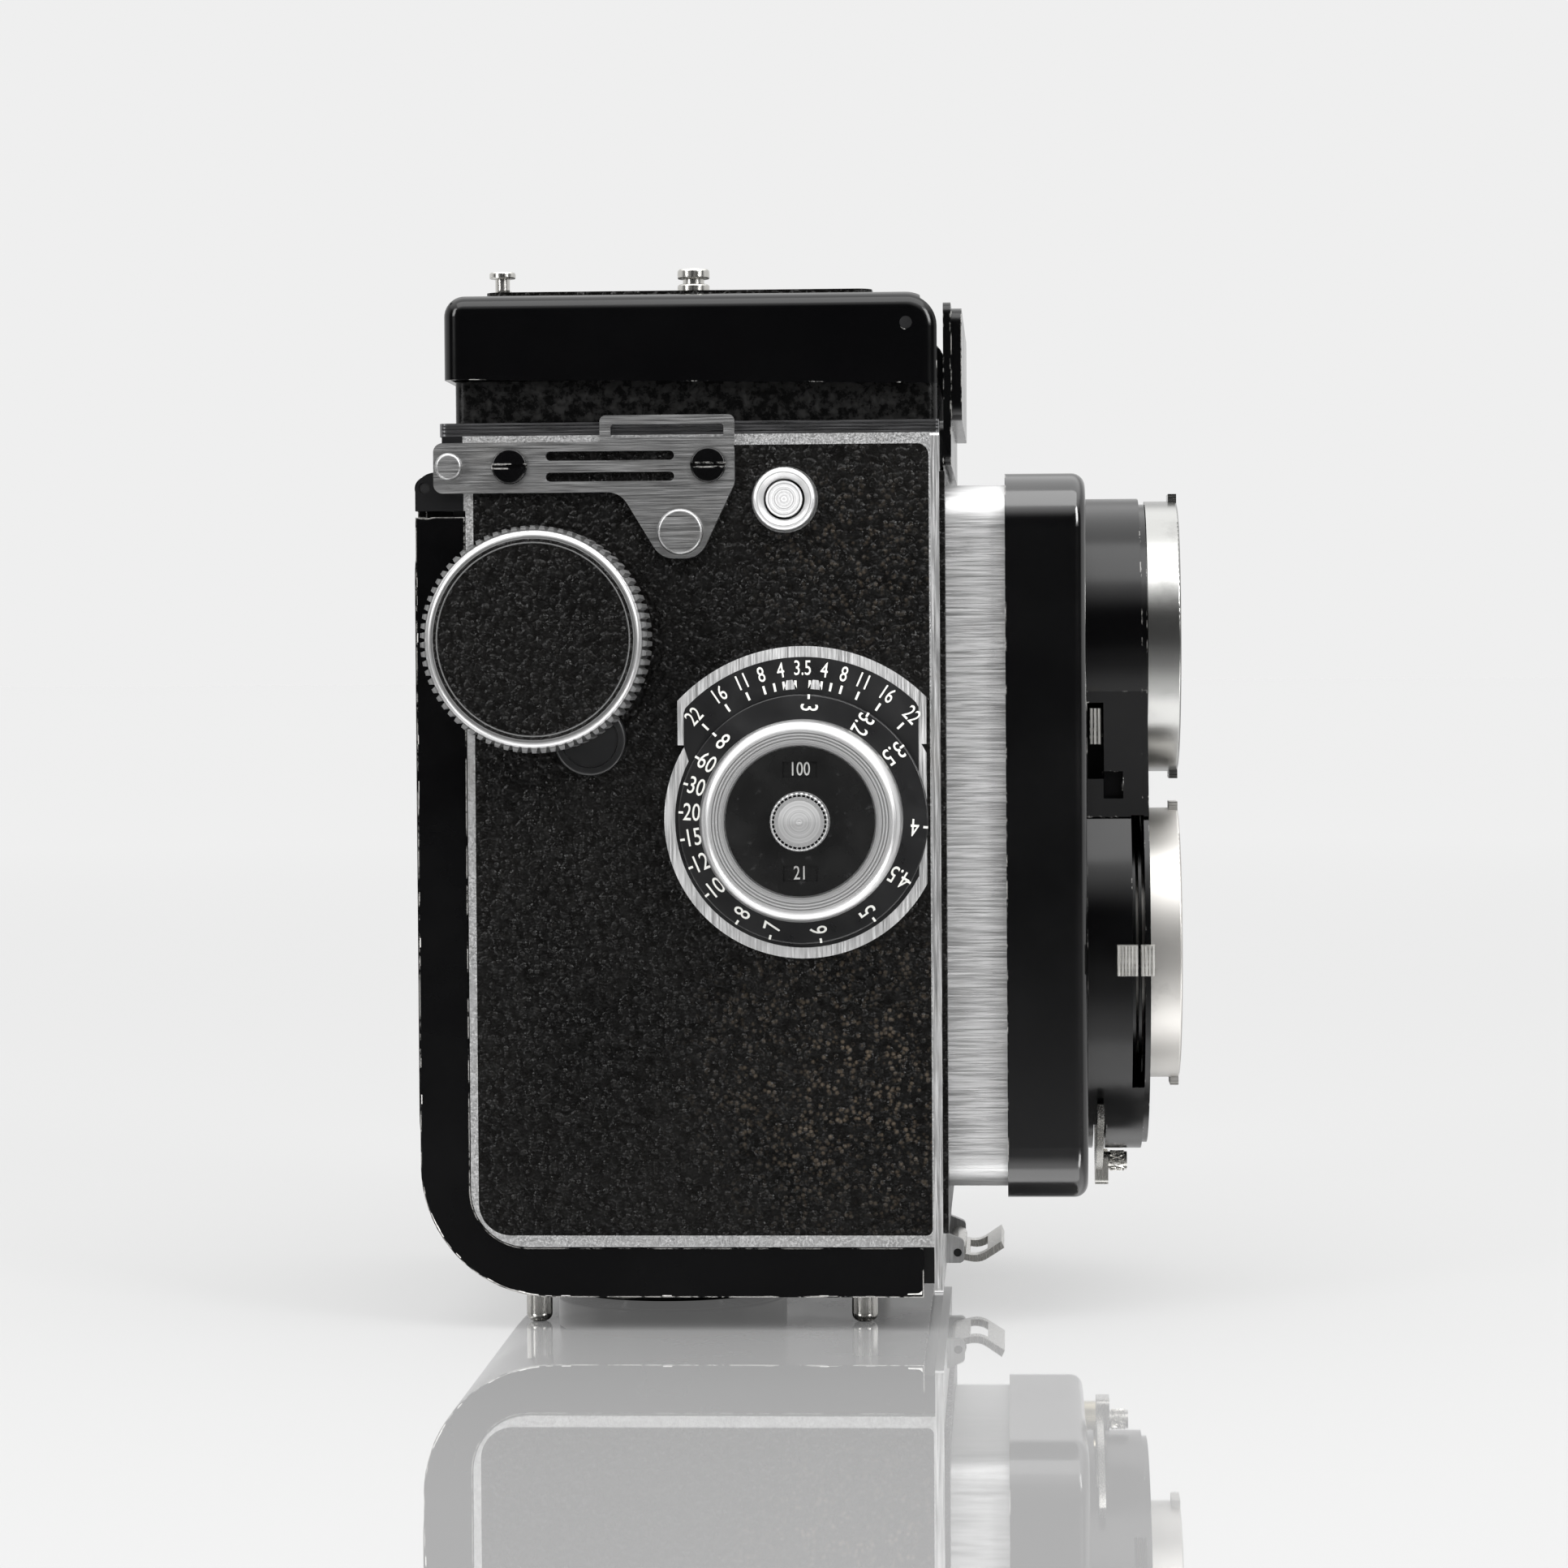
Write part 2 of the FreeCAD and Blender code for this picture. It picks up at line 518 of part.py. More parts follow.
def lens_glass(z, x_front, r):
    """Lens element with a domed front face."""
    bulge = 1.6
    radius = (r * r + bulge * bulge) / (2 * bulge)
    dome = Part.makeSphere(radius, V(x_front - radius, 0, z))
    return rod_x(x_front - 4.2, x_front, 0, z, r).common(dome)


def lens_retainer(z, r):
    """Black ring holding the front element in its barrel."""
    return turned_x([(60.0, r, 0), (60.0, 12.55, 0), (65.6, 12.55, 0), (65.6, r + 0.6, 0)], 0, z)


def shutter_case():
    """Round shutter case behind the taking lens."""
    return turned_x([(50.6, 13.2, 0), (50.6, 24.6, 0), (55.0, 24.6, 0), (55.0, 13.2, 0)], 0, TAKING_Z)


def blade_set(x, r_out, hole, count):
    """Thin overlapping leaves lying in one plane round a central hole."""
    leaf = rod_x(x, x + 0.3, 0, TAKING_Z, r_out)
    tools = [rod_x(x - 1, x + 1, 0, TAKING_Z, hole)]
    for i in range(count):
        slit = box(x - 1, x + 1, hole - 0.5, r_out + 1, TAKING_Z - 0.08, TAKING_Z + 0.08)
        slit.rotate(V(x, 0, TAKING_Z), V(1, 0, 0), i * 360 / count)
        tools.append(slit)
    return leaf.cut(tools)


def arc_lever(x0, x1, z_tip, tab):
    """Setting lever: a flat ring round the taking lens with an arm out to a ribbed tab."""
    y_tip = -math.sqrt(LOWER_R ** 2 - z_tip ** 2)
    ring = turned_x([(x0, 18.4, 0), (x0, 21.6, 0), (x1, 21.6, 0), (x1, 18.4, 0)], 0, TAKING_Z)
    arm = box(x0, x1, y_tip - 1.2, -19.5, TAKING_Z + z_tip - 1.1, TAKING_Z + z_tip + 1.1)
    grip = box(tab[0], tab[1], y_tip - 3.2, y_tip - 1.0, TAKING_Z + z_tip - 2, TAKING_Z + z_tip + 2)
    ribs = [box(tab[0] - 1, tab[1] + 1, y_tip - 4, y_tip - 2.95, TAKING_Z + z_tip + k * 1.0 - 0.2,
                TAKING_Z + z_tip + k * 1.0 + 0.2) for k in (-1.5, -0.5, 0.5, 1.5)]
    return cut(join(ring, arm, grip), *ribs)


def release_lever():
    """Cocking and release lever: an arm through the housing, a strip round it and a finger piece."""
    x0, x1 = 58.4, 59.3
    ring = turned_x([(x0, 20.2, 0), (x0, 23.4, 0), (x1, 23.4, 0), (x1, 20.2, 0)], 0, TAKING_Z)
    arm = slab_x([(-2.6, 16.6, 1), (2.6, 16.6, 1), (4.2, 27.0, 0), (-4.2, 27.0, 0)], x0, x1)
    hoop = cut(rod_x(x0, x1, 0, TAKING_Z, 31.2), rod_x(x0 - 1, x1 + 1, 0, TAKING_Z, 28.7))
    sector = slab_x([(2.0, 16.0, 0), (2.0, 20.5, 0), (-19.0, 29.0, 0), (-24.0, 24.0, 0), (-12, 12, 0)],
                    x0, x1)
    pad = slab_x(rect(-2.6, 2.6, 14.8, 19.3, 0.8), x0, 60.2)
    stub = rod_x(60.0, 62.8, 0, 17.9, 1.25)
    return join(ring, arm, hoop.common(sector), pad, stub)


def sync_lever():
    """Small ribbed tab on the shoulder of the housing."""
    tab = box(57.6, 59.1, -20.6, -18.9, 75.6, 80.4)
    ribs = [box(57, 60, -21, -20.3, z - 0.2, z + 0.2) for z in (76.6, 77.6, 78.6, 79.6)]
    return cut(join(tab, box(57.8, 58.9, -19.2, -15.0, 76.1, 79.9)), *ribs)


def flash_socket():
    """Short threaded socket low on the lens board's left."""
    return turned_x([(BOARD_FRONT, 1.4, 0), (BOARD_FRONT, 3.2, 0), (60.6, 3.2, 0.3), (60.6, 2.4, 0),
                     (60.6, 1.4, 0)], 28.0, 23.4)


# ------------------------------------------------------------------ hood

def lid_outline(inset):
    front = LID_FRONT - inset
    return [(LID_BACK + inset, LID_LOW, 0), (front, LID_LOW - 1.0, 0),
            (front, LID_TOP - inset, 4.5 - inset), (LID_BACK + inset, LID_TOP - inset, 2.7 - inset)]


def hood_lid():
    """Pressed hood lid, open below and at the front."""
    shell = slab_y(lid_outline(0), -37.9, 37.9)
    long_edges = [e for e in shell.Edges if abs(e.CenterOfMass.z - LID_TOP) < 0.01
                  and abs(abs(e.CenterOfMass.y) - 37.9) < 0.01]
    shell = shell.makeFillet(2.2, long_edges)
    hollow = box(LID_BACK + 0.9, LID_FRONT + 1, -37.0, 37.0, 120, LID_TOP - 0.9)
    front_gap = box(LID_FRONT - 2.6, LID_FRONT + 1, -37.0, 37.0, 120, LID_TOP + 1)
    hinge = rod_y(-39, 39, HOOD_PIN[0], HOOD_PIN[1], 0.85)
    window = box(-14, 14, -16, 16, 133, 136)
    ears = both_sides(cut(box(MAGNIFIER_PIN_X - 1.6, MAGNIFIER_PIN_X + 1.6, -17.0, -16.0, 130.2, 133.8),
                          rod_y(-18, -15, MAGNIFIER_PIN_X, MAGNIFIER_PIN_Z, 0.65)))
    return join(cut(shell, hollow, front_gap, hinge, window), *ears)


def lid_leather():
    """Leather panel on the lid with the finder window framed in it."""
    sheet = slab_z(rect(-21.0, 29.4, -33.2, 33.2, 2), LID_TOP, LID_TOP + 0.7)
    return cut(sheet, box(-14.6, 14.6, -16.6, 16.6, 134, 136), rod_z(134, 137, 6.0, -30.0, 2.6))


def finder_flap():
    """Inner leaf of the sports finder filling the window in the lid."""
    return box(-13.8, 13.8, -15.8, 15.8, LID_TOP - 0.8, LID_TOP + 0.3)


def lid_catch():
    """Flat-headed catch stud on its sloping foot at the rear of the lid."""
    foot = slab_y([(-25.0, LID_TOP, 0), (-24.2, 137.0, 1), (-22.8, 138.2, 0.4), (-21.4, 138.2, 0),
                   (-21.4, LID_TOP, 0)], -2.0, 2.0)
    head = turned_z([(138.0, 0, 0), (138.0, 1.0, 0), (139.9, 1.0, 0), (139.9, 1.8, 0.2), (140.8, 1.8, 0.3),
                     (140.8, 0, 0)], -22.6, 0)
    return join(foot, head)


def top_stud():
    """Two-tier release stud for the magnifier."""
    return turned_z([(LID_TOP, 0, 0), (LID_TOP, 2.1, 0), (136.2, 2.1, 0.3), (136.2, 1.4, 0), (136.9, 1.4, 0),
                     (136.9, 2.1, 0.2), (138.2, 2.1, 0.4), (138.2, 0, 0)], 6.0, -30.0)


def side_flap():
    """Side leaf of the hood, folded flat over the screen."""
    z = FLAP_Z
    leaf = slab_z([(-19.2, -FLAP_Y + 0.5, 0), (30.4, -FLAP_Y + 0.5, 0), (26.0, -FLAP_Y + 22, 0),
                   (-3.0, -FLAP_Y + 22, 0)], z - 0.3, z + 0.3)
    return join(leaf, rod_x(-19.2, 30.4, -FLAP_Y, z, 0.7))


def rear_flap():
    """Rear leaf of the hood, folded flat over the side leaves."""
    z = REAR_FLAP_Z
    leaf = slab_z([(REAR_FLAP_X + 0.6, -32.0, 0), (REAR_FLAP_X + 22, -11.0, 0),
                   (REAR_FLAP_X + 22, 11.0, 0), (REAR_FLAP_X + 0.6, 32.0, 0)], z - 0.3, z + 0.3)
    return join(leaf, rod_y(-32.0, 32.0, REAR_FLAP_X, z, 0.7))


def magnifier_frame():
    """Frame of the focusing magnifier, hinged inside the lid."""
    x, z = MAGNIFIER_PIN_X, MAGNIFIER_PIN_Z
    plate = box(x - 27, x + 1.0, -14.8, 14.8, z - 0.5, z + 0.5)
    hole = rod_z(z - 3, z + 2, x - 13, 0, 11.0)
    ring = rod_z(z - 2.2, z + 0.5, x - 13, 0, 12.4)
    return cut(join(plate, ring, rod_y(-16.8, 16.8, x, z, 0.6)), hole)


def magnifier_lens():
    """Magnifying lens in its frame."""
    return rod_z(MAGNIFIER_PIN_Z - 1.7, MAGNIFIER_PIN_Z + 0.1, MAGNIFIER_PIN_X - 13, 0, 11.0)


# ------------------------------------------------------------------ door

def door_outline():
    """Outline of the door's side flange, from the top of the back round to the front end."""
    return [(DOOR_BACK, DOOR_LOW, 17), (BODY_FRONT - 1.4, DOOR_LOW, 0), (BODY_FRONT - 1.4, BODY_LOW - 0.2, 0),
            (BODY_BACK - 0.2, BODY_LOW - 0.2, 7.5), (BODY_BACK - 0.2, DOOR_TOP, 0), (DOOR_BACK, DOOR_TOP, 0)]


def door_shell():
    """One-piece back and bottom: a bent pan with side flanges, hinged along its top edge."""
    outside = [(DOOR_BACK, DOOR_LOW, 17), (BODY_FRONT - 1.4, DOOR_LOW, 0), (BODY_FRONT - 1.4, 10, 0),
               (0, 60, 0), (BODY_BACK, DOOR_TOP, 0), (DOOR_BACK, DOOR_TOP, 0)]
    inside = [(DOOR_BACK + DOOR_SKIN, DOOR_LOW + DOOR_SKIN, 17 - DOOR_SKIN),
              (BODY_FRONT + 5, DOOR_LOW + DOOR_SKIN, 0), (BODY_FRONT + 5, 60, 0), (0, 120, 0),
              (DOOR_BACK + DOOR_SKIN, 120, 0)]
    skin = slab_y(outside, -38.0, 38.0).cut(slab_y(inside, -40, 40))
    flange = slab_y(door_outline(), -38.0, -36.7)
    leaf = box(DOOR_BACK, DOOR_BACK + DOOR_SKIN, -35.5, 35.5, 105.0, DOOR_PIN[1] - 0.6)
    knuckle = rod_y(-35.5, 35.5, DOOR_PIN[0], DOOR_PIN[1], 1.6)
    clearance = both_sides(rod_y(-39, -36, DOOR_PIN[0], DOOR_PIN[1], 3.95))
    return cut(join(skin, leaf, knuckle, *both_sides(flange)), rod_z(0, 12, 0, 0, 5.0),
               rod_y(-40, 40, DOOR_PIN[0], DOOR_PIN[1], 0.75), *clearance)


def door_leather():
    """Leather on the back of the door."""
    return slab_x(rect(-34.5, 34.5, 24.0, 102.0, 4), DOOR_BACK - 0.6, DOOR_BACK)


def tripod_plate():
    """Round tripod plate with a raised rim and a threaded bush."""
    return turned_z([(0.6, 3.05, 0), (0.6, 6.2, 0), (2.6, 7.4, 0), (2.6, 13.6, 0), (0.6, 14.6, 0),
                     (0.6, 15.8, 0.3), (DOOR_LOW, 15.8, 0), (DOOR_LOW, 4.9, 0), (9.0 - 3.6, 4.9, 0),
                     (5.4, 3.05, 0)], 0, 0)


def feet():
    """Four small domed feet under the door."""
    pan = slab_y(door_outline(), -SIDE, SIDE)
    return group([cut(turned_z([(0, 0, 0), (0, 1.7, 1.1), (DOOR_LOW + 1, 1.7, 0), (DOOR_LOW + 1, 0, 0)],
                               x, y), pan)
                  for x in (-15.4, 27.6) for y in (-29, 29)])


def pressure_plate():
    """Plate that holds the film flat, sprung off the door."""
    plate = box(-27.9, -27.2, -30.4, 30.4, 20.6, 76.0)
    return cut(plate, *[box(-29, -27.6, y - 1.2, y + 1.2, 40, 56) for y in (-12, 12)])


def latch_lever():
    """Sprung tongue under the front that locks the door."""
    x, z = LATCH_PIN
    tongue = slab_y([(x, z - 1.1, 0), (42.6, 4.9, 3), (45.9, 7.0, 0), (45.5, 7.9, 0), (42.4, 5.8, 3),
                     (x, z - 0.2, 0)], -9, 9)
    window = box(41.2, 43.6, -6.5, 6.5, 4, 9)
    return cut(join(rod_y(-9, 9, x, z, 1.1), tongue), window, rod_y(-10, 10, x, z, 0.6))


NODES = {
    "body_shell": body_shell,
    "body_leather": body_leather,
    "film_gate": film_gate,
    "film_roller_low": lambda: film_roller(ROLLERS_Z[0]),
    "film_roller_high": lambda: film_roller(ROLLERS_Z[1]),
    "front_plate": front_plate,
    "front_leather": front_leather,
    "light_box": light_box,
    "reflex_mirror": reflex_mirror,
    "focusing_screen": focusing_screen,
    "top_trim": top_trim,
    "hood_base": hood_base,
    "hinge_pins": hinge_pins,
    "name_plate": name_plate,
    "strap_plates": lambda: group(both_sides(strap_plate())),
    "strap_screws": strap_screws,
    "button_collar": button_collar,
    "side_button": side_button,
    "counter_window": counter_window,
    "depth_scale_plate": depth_scale_plate,
    "winding_knob": winding_knob,
    "winding_knob_leather": winding_knob_leather,
    "take_up_spool": lambda: spool(WIND_X, WIND_Z, True),
    "supply_spool": lambda: spool(SUPPLY_X, SUPPLY_Z, False),
    "spool_knob_upper": lambda: spool_knob(WIND_X, WIND_Z),
    "spool_knob_lower": lambda: spool_knob(SUPPLY_X, SUPPLY_Z),
    "focus_knob": focus_knob,
    "distance_ring": distance_ring,
    "film_speed_disc": film_speed_disc,
    "lens_board_shell": lens_board_shell,
    "shutter_housing": shutter_housing,
    "viewing_barrel": lambda: lens_barrel(VIEWING_Z, 69.9),
    "taking_barrel": lambda: lens_barrel(TAKING_Z, 69.9),
    "viewing_lens": lambda: lens_glass(VIEWING_Z, 64.4, 11.6),
    "taking_lens": lambda: lens_glass(TAKING_Z, 63.4, 10.4),
    "lens_retainers": lambda: group([lens_retainer(VIEWING_Z, 11.6), lens_retainer(TAKING_Z, 10.4)]),
    "shutter_case": shutter_case,
    "shutter_blades": lambda: blade_set(53.2, 13.1, 1.0, 5),
    "aperture_blades": lambda: blade_set(51.6, 13.1, 5.0, 10),
    "shutter_speed_lever": lambda: arc_lever(63.2, 63.6, -0.5, (60.9, 63.6)),
    "aperture_lever": lambda: arc_lever(64.0, 64.4, -0.5, (64.0, 65.8)),
    "release_lever": release_lever,
    "sync_lever": sync_lever,
    "flash_socket": flash_socket,
    "hood_lid": hood_lid,
    "lid_leather": lid_leather,
    "finder_flap": finder_flap,
    "lid_catch": lid_catch,
    "top_stud": top_stud,
    "hood_flap_right": side_flap,
    "hood_flap_left": lambda: both_sides(side_flap())[1],
    "hood_flap_rear": rear_flap,
    "magnifier_frame": magnifier_frame,
    "magnifier_lens": magnifier_lens,
    "door_shell": door_shell,
    "door_leather": door_leather,
    "tripod_plate": tripod_plate,
    "feet": feet,
    "pressure_plate": pressure_plate,
    "latch_lever": latch_lever,
}

os.makedirs("parts", exist_ok=True)
for name, make in NODES.items():
    make().exportStep("parts/" + name + ".step")
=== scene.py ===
import math

import bmesh
import bpy
from mathutils import Matrix, Vector


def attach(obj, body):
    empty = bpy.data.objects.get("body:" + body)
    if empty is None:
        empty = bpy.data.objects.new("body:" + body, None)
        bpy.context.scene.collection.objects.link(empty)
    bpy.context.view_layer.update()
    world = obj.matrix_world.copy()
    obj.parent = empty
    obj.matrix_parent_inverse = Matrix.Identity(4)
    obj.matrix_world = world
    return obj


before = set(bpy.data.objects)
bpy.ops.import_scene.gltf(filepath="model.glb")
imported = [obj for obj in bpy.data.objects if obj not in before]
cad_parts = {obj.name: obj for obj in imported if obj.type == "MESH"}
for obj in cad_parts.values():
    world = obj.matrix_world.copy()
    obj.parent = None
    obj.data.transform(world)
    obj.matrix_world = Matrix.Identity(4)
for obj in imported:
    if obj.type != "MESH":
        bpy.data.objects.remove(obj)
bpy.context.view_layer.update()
MM = 0.001

# ---------------------------------------------------------------- dimensions, mm
SIDE = 38.5
WIND = (-13.3, 89.8)
FOCUS = (20.4, 66.5)
VIEWING_Z, TAKING_Z = 90.0, 48.0
SUPPLY = (20.4, 18.9)
BUTTON = (18.2, 107.7)
WIND_AXIS = (WIND[0], -45, WIND[1])
FOCUS_AXIS = (FOCUS[0], -45, FOCUS[1])
BUTTON_AXIS = (BUTTON[0], -40, BUTTON[1])
VIEWING_AXIS = (60, 0, VIEWING_Z)
TAKING_AXIS = (60, 0, TAKING_Z)
WORN_LOW = (27, 0, 33)        # middle of the rubbed patches of the side leather
WORN_HIGH = (27, 0, 100)
DIAL_Y = -SIDE - 0.9          # face of the depth-of-field plate
RING_Y = -SIDE - 1.9          # face of the distance ring
SPEED_Y = -SIDE - 10.2        # face of the film-speed disc
SPEED_NUMBER_Y = -SIDE - 10.03
LEVER_RING = 28.2             # outer radius of the setting levers' rings
TAB_HALF = 0.5                # half width of a lever's neck
TAB_REACH = 3.2               # from the ring to the face of the finger tab
DOOR_CORNER = (-12.8, 21.4)   # centre of the back's large rear corner
DOOR_RADIUS = 16.86
# Y span of the door edge's painted highlight line and its small worn chip
DOOR_HIGHLIGHT_AND_WEAR_Y = (-38.03, -37.9)
DOOR_STEP = 1.2               # spacing of the points along the door edge's painted highlight line

# ---------------------------------------------------------------- stage values, metres and radiance
BACKDROP = 0.863              # radiance of the plain pale surroundings
OVERHEAD = 2.2                # radiance of the sky above the camera
FLOOR_MIRROR = 0.545          # share of the floor's light that is mirrored
FLOOR_DIFFUSE = 0.25          # how white the floor is to light that bounces
FLOOR_TONE = 0.31             # how white it is seen directly
FLOOR_GLOW = 0.2              # light the floor gives off towards the camera
GLOW_RISE = 0.17              # how much more of it far from the object
FLOOR_REACH = 30.0

CAMERA_AIM = (15.85, 0, 70.0)  # mm
CAMERA_AZIMUTH, CAMERA_ELEVATION = math.radians(3.0), math.radians(1.5)
CAMERA_ROLL = -0.0065
CAMERA_DISTANCE = 0.6
CAMERA_LENS = 99.8

# name, place, point lit, width, height, power
LAMPS = (("key_front", (0.75, -0.7, 0.55), (0.02, 0, 0.06), 0.3, 0.5, 6.0),
         ("key_rear", (-0.75, -0.75, 0.5), (0, 0, 0.07), 0.3, 0.5, 4.6),
         ("top_sheet", (0.05, -0.3, 0.7), (0.02, 0, 0.1), 0.9, 0.45, 3))


# ---------------------------------------------------------------- materials

class Nodes:
    """Small helper for building a node material."""

    def __init__(self, name, rough=0.5, metal=0.0, **sockets):
        self.mat = bpy.data.materials.new(name)
        self.mat.use_nodes = True
        self.tree = self.mat.node_tree
        self.bsdf = self.tree.nodes["Principled BSDF"]
        self.bsdf.inputs["Roughness"].default_value = rough
        self.bsdf.inputs["Metallic"].default_value = metal
        for key, value in sockets.items():
            self.bsdf.inputs[key.replace("_", " ")].default_value = value
        self.place = self.add("ShaderNodeTexCoord").outputs["Object"]

    def add(self, kind, **props):
        node = self.tree.nodes.new(kind)
        for key, value in props.items():
            setattr(node, key, value)
        return node

    def link(self, a, b):
        self.tree.links.new(a, b)

    def stretched(self, scale):
        node = self.add("ShaderNodeMapping")
        node.inputs["Scale"].default_value = scale
        self.link(self.place, node.inputs["Vector"])
        return node.outputs["Vector"]

    def noise(self, scale, detail=3.0, rough=0.5, at=None):
        node = self.add("ShaderNodeTexNoise")
        node.inputs["Scale"].default_value = scale
        node.inputs["Detail"].default_value = detail
        node.inputs["Roughness"].default_value = rough
        self.link(at or self.place, node.inputs["Vector"])
        return node.outputs["Fac"]

    def cells(self, scale, feature="F1", at=None):
        node = self.add("ShaderNodeTexVoronoi", feature=feature)
        node.inputs["Scale"].default_value = scale
        self.link(at or self.place, node.inputs["Vector"])
        return node.outputs["Distance"]

    def ramp(self, fac, *stops):
        node = self.add("ShaderNodeValToRGB")
        elements = node.color_ramp.elements
        while len(elements) < len(stops):
            elements.new(0.5)
        for element, (at, colour) in zip(elements, stops):
            element.position = at
            element.color = (*colour, 1) if isinstance(colour, tuple) else (colour, colour, colour, 1)
        self.link(fac, node.inputs["Fac"])
        return node.outputs["Color"]

    def math(self, operation, a, b):
        node = self.add("ShaderNodeMath", operation=operation)
        for socket, value in zip(node.inputs, (a, b)):
            if isinstance(value, (int, float)):
                socket.default_value = value
            else:
                self.link(value, socket)
        return node.outputs["Value"]

    def mix(self, fac, a, b):
        node = self.add("ShaderNodeMix", data_type="RGBA")
        for socket, value in ((node.inputs["Factor"], fac), (node.inputs["A"], a), (node.inputs["B"], b)):
            if isinstance(value, tuple):
                socket.default_value = (*value, 1)
            elif isinstance(value, float):
                socket.default_value = value
            else:
                self.link(value, socket)
        return node.outputs["Result"]

    def edges(self, width=0.0004):
        """Mask of the sharp edges, from a bevelled normal against the plain one."""
        bevel = self.add("ShaderNodeBevel", samples=4)
        bevel.inputs["Radius"].default_value = width
        geo = self.add("ShaderNodeNewGeometry")
        dot = self.add("ShaderNodeVectorMath", operation="DOT_PRODUCT")
        self.link(bevel.outputs["Normal"], dot.inputs[0])
        self.link(geo.outputs["Normal"], dot.inputs[1])
        return self.math("SUBTRACT", 1.0, dot.outputs["Value"])

    def split(self):
        node = self.add("ShaderNodeSeparateXYZ")
        self.link(self.place, node.inputs[0])
        return node.outputs

    def radius(self, centre, axis="Y"):
        """Distance from an axis through the centre, given in millimetres."""
        shift = self.add("ShaderNodeMapping")
        shift.inputs["Location"].default_value = [-c * MM for c in centre]
        self.link(self.place, shift.inputs["Vector"])
        squash = self.add("ShaderNodeMapping")
        flat = [1.0, 1.0, 1.0]
        flat["XYZ".index(axis)] = 0.0
        squash.inputs["Scale"].default_value = flat
        self.link(shift.outputs["Vector"], squash.inputs["Vector"])
        length = self.add("ShaderNodeVectorMath", operation="LENGTH")
        self.link(squash.outputs["Vector"], length.inputs[0])
        return length.outputs["Value"]

    def colour(self, out):
        self.link(out, self.bsdf.inputs["Base Color"])

    def roughness(self, out):
        self.link(out, self.bsdf.inputs["Roughness"])

    def bump(self, height, strength, distance=0.0002):
        node = self.add("ShaderNodeBump")
        node.inputs["Strength"].default_value = strength
        node.inputs["Distance"].default_value = distance
        self.link(height, node.inputs["Height"])
        self.link(node.outputs["Normal"], self.bsdf.inputs["Normal"])


def leather(name, worn=0.0):
    """Black pebbled leather; the worn kind is rubbed brown on its lower front."""
    m = Nodes(name, 0.4)
    m.bsdf.inputs["Specular IOR Level"].default_value = 0.14
    warp = m.noise(500, 3)
    pebble = m.ramp(m.cells(1400, "SMOOTH_F1"), (0.1, 1.0), (0.75, 0.0))
    fine = m.ramp(m.cells(1900), (0.05, 1.0), (0.7, 0.0))
    height = m.math("ADD", m.math("MULTIPLY", pebble, 0.9), m.math("MULTIPLY", fine, 0.45))
    height = m.math("ADD", height, m.math("MULTIPLY", warp, 0.9))
    m.bump(height, 0.75, 0.00028)
    black = m.ramp(m.noise(60, 5), (0.3, (0.0022, 0.0021, 0.002)), (0.7, (0.0048, 0.0045, 0.0042)))
    # lighter flecks on the pebble tops are painted sheen; on the worn kind the same mask also places the
    # brown rubbing
    tops = m.ramp(m.cells(1400), (0.15, 1.0), (0.5, 0.0))
    tops = m.math("MULTIPLY", tops, m.ramp(m.noise(520, 3, 0.6), (0.42, 0.0), (0.56, 1.0)))
    black = m.mix(m.math("MULTIPLY", tops, 0.15), black, (0.03, 0.028, 0.025))
    if worn:
        reach = m.ramp(m.radius(WORN_LOW), (0.004, 1.0), (0.024, 0.0))
        upper = m.math("MULTIPLY", m.ramp(m.radius(WORN_HIGH), (0.002, 1.0), (0.014, 0.0)), 0.5)
        reach = m.math("MAXIMUM", reach, upper)
        patchy = m.ramp(m.noise(130, 5, 0.6), (0.3, 0.0), (0.55, worn))
        rubbed = m.math("MULTIPLY", m.math("MULTIPLY", reach, patchy), tops)
        m.colour(m.mix(rubbed, black, (0.09, 0.07, 0.05)))
    else:
        m.colour(black)
    m.roughness(m.ramp(m.noise(900, 3), (0.35, 0.2), (0.7, 0.42)))
    return m.mat


def enamel(name, rough=0.16, wear=0.5, bump=0.02, width=0.00028, shine=0.35):
    """Gloss black enamel over bright metal, rubbed through here and there along the edges."""
    m = Nodes(name, rough)
    m.bsdf.inputs["Specular IOR Level"].default_value = shine
    chips = m.ramp(m.noise(260, 6, 0.7), (0.58 - 0.14 * wear, 0.0), (0.62 - 0.1 * wear, 1.0))
    edge = m.ramp(m.edges(width), (0.03, 0.0), (0.12, 1.0))
    mask = m.math("MULTIPLY", chips, edge)
    m.colour(m.mix(mask, (0.0012, 0.0012, 0.0014), (0.55, 0.54, 0.52)))
    smears = m.ramp(m.noise(45, 5, 0.6), (0.3, rough * 0.8), (0.75, rough * 1.7))
    m.roughness(m.mix(mask, smears, (0.3, 0.3, 0.3)))
    m.bump(m.noise(900, 3), bump, 0.00004)
    return m.mat


def crinkle(name):
    """Mottled black finish of the hood's lower band."""
    m = Nodes(name, 0.35)
    m.bsdf.inputs["Specular IOR Level"].default_value = 0.3
    blot = m.noise(900, 5, 0.65)
    m.colour(m.ramp(blot, (0.45, (0.001, 0.001, 0.001)), (0.66, (0.0085, 0.0083, 0.008))))
    m.roughness(m.ramp(blot, (0.4, 0.2), (0.65, 0.4)))
    m.bump(blot, 0.35, 0.00008)
    return m.mat


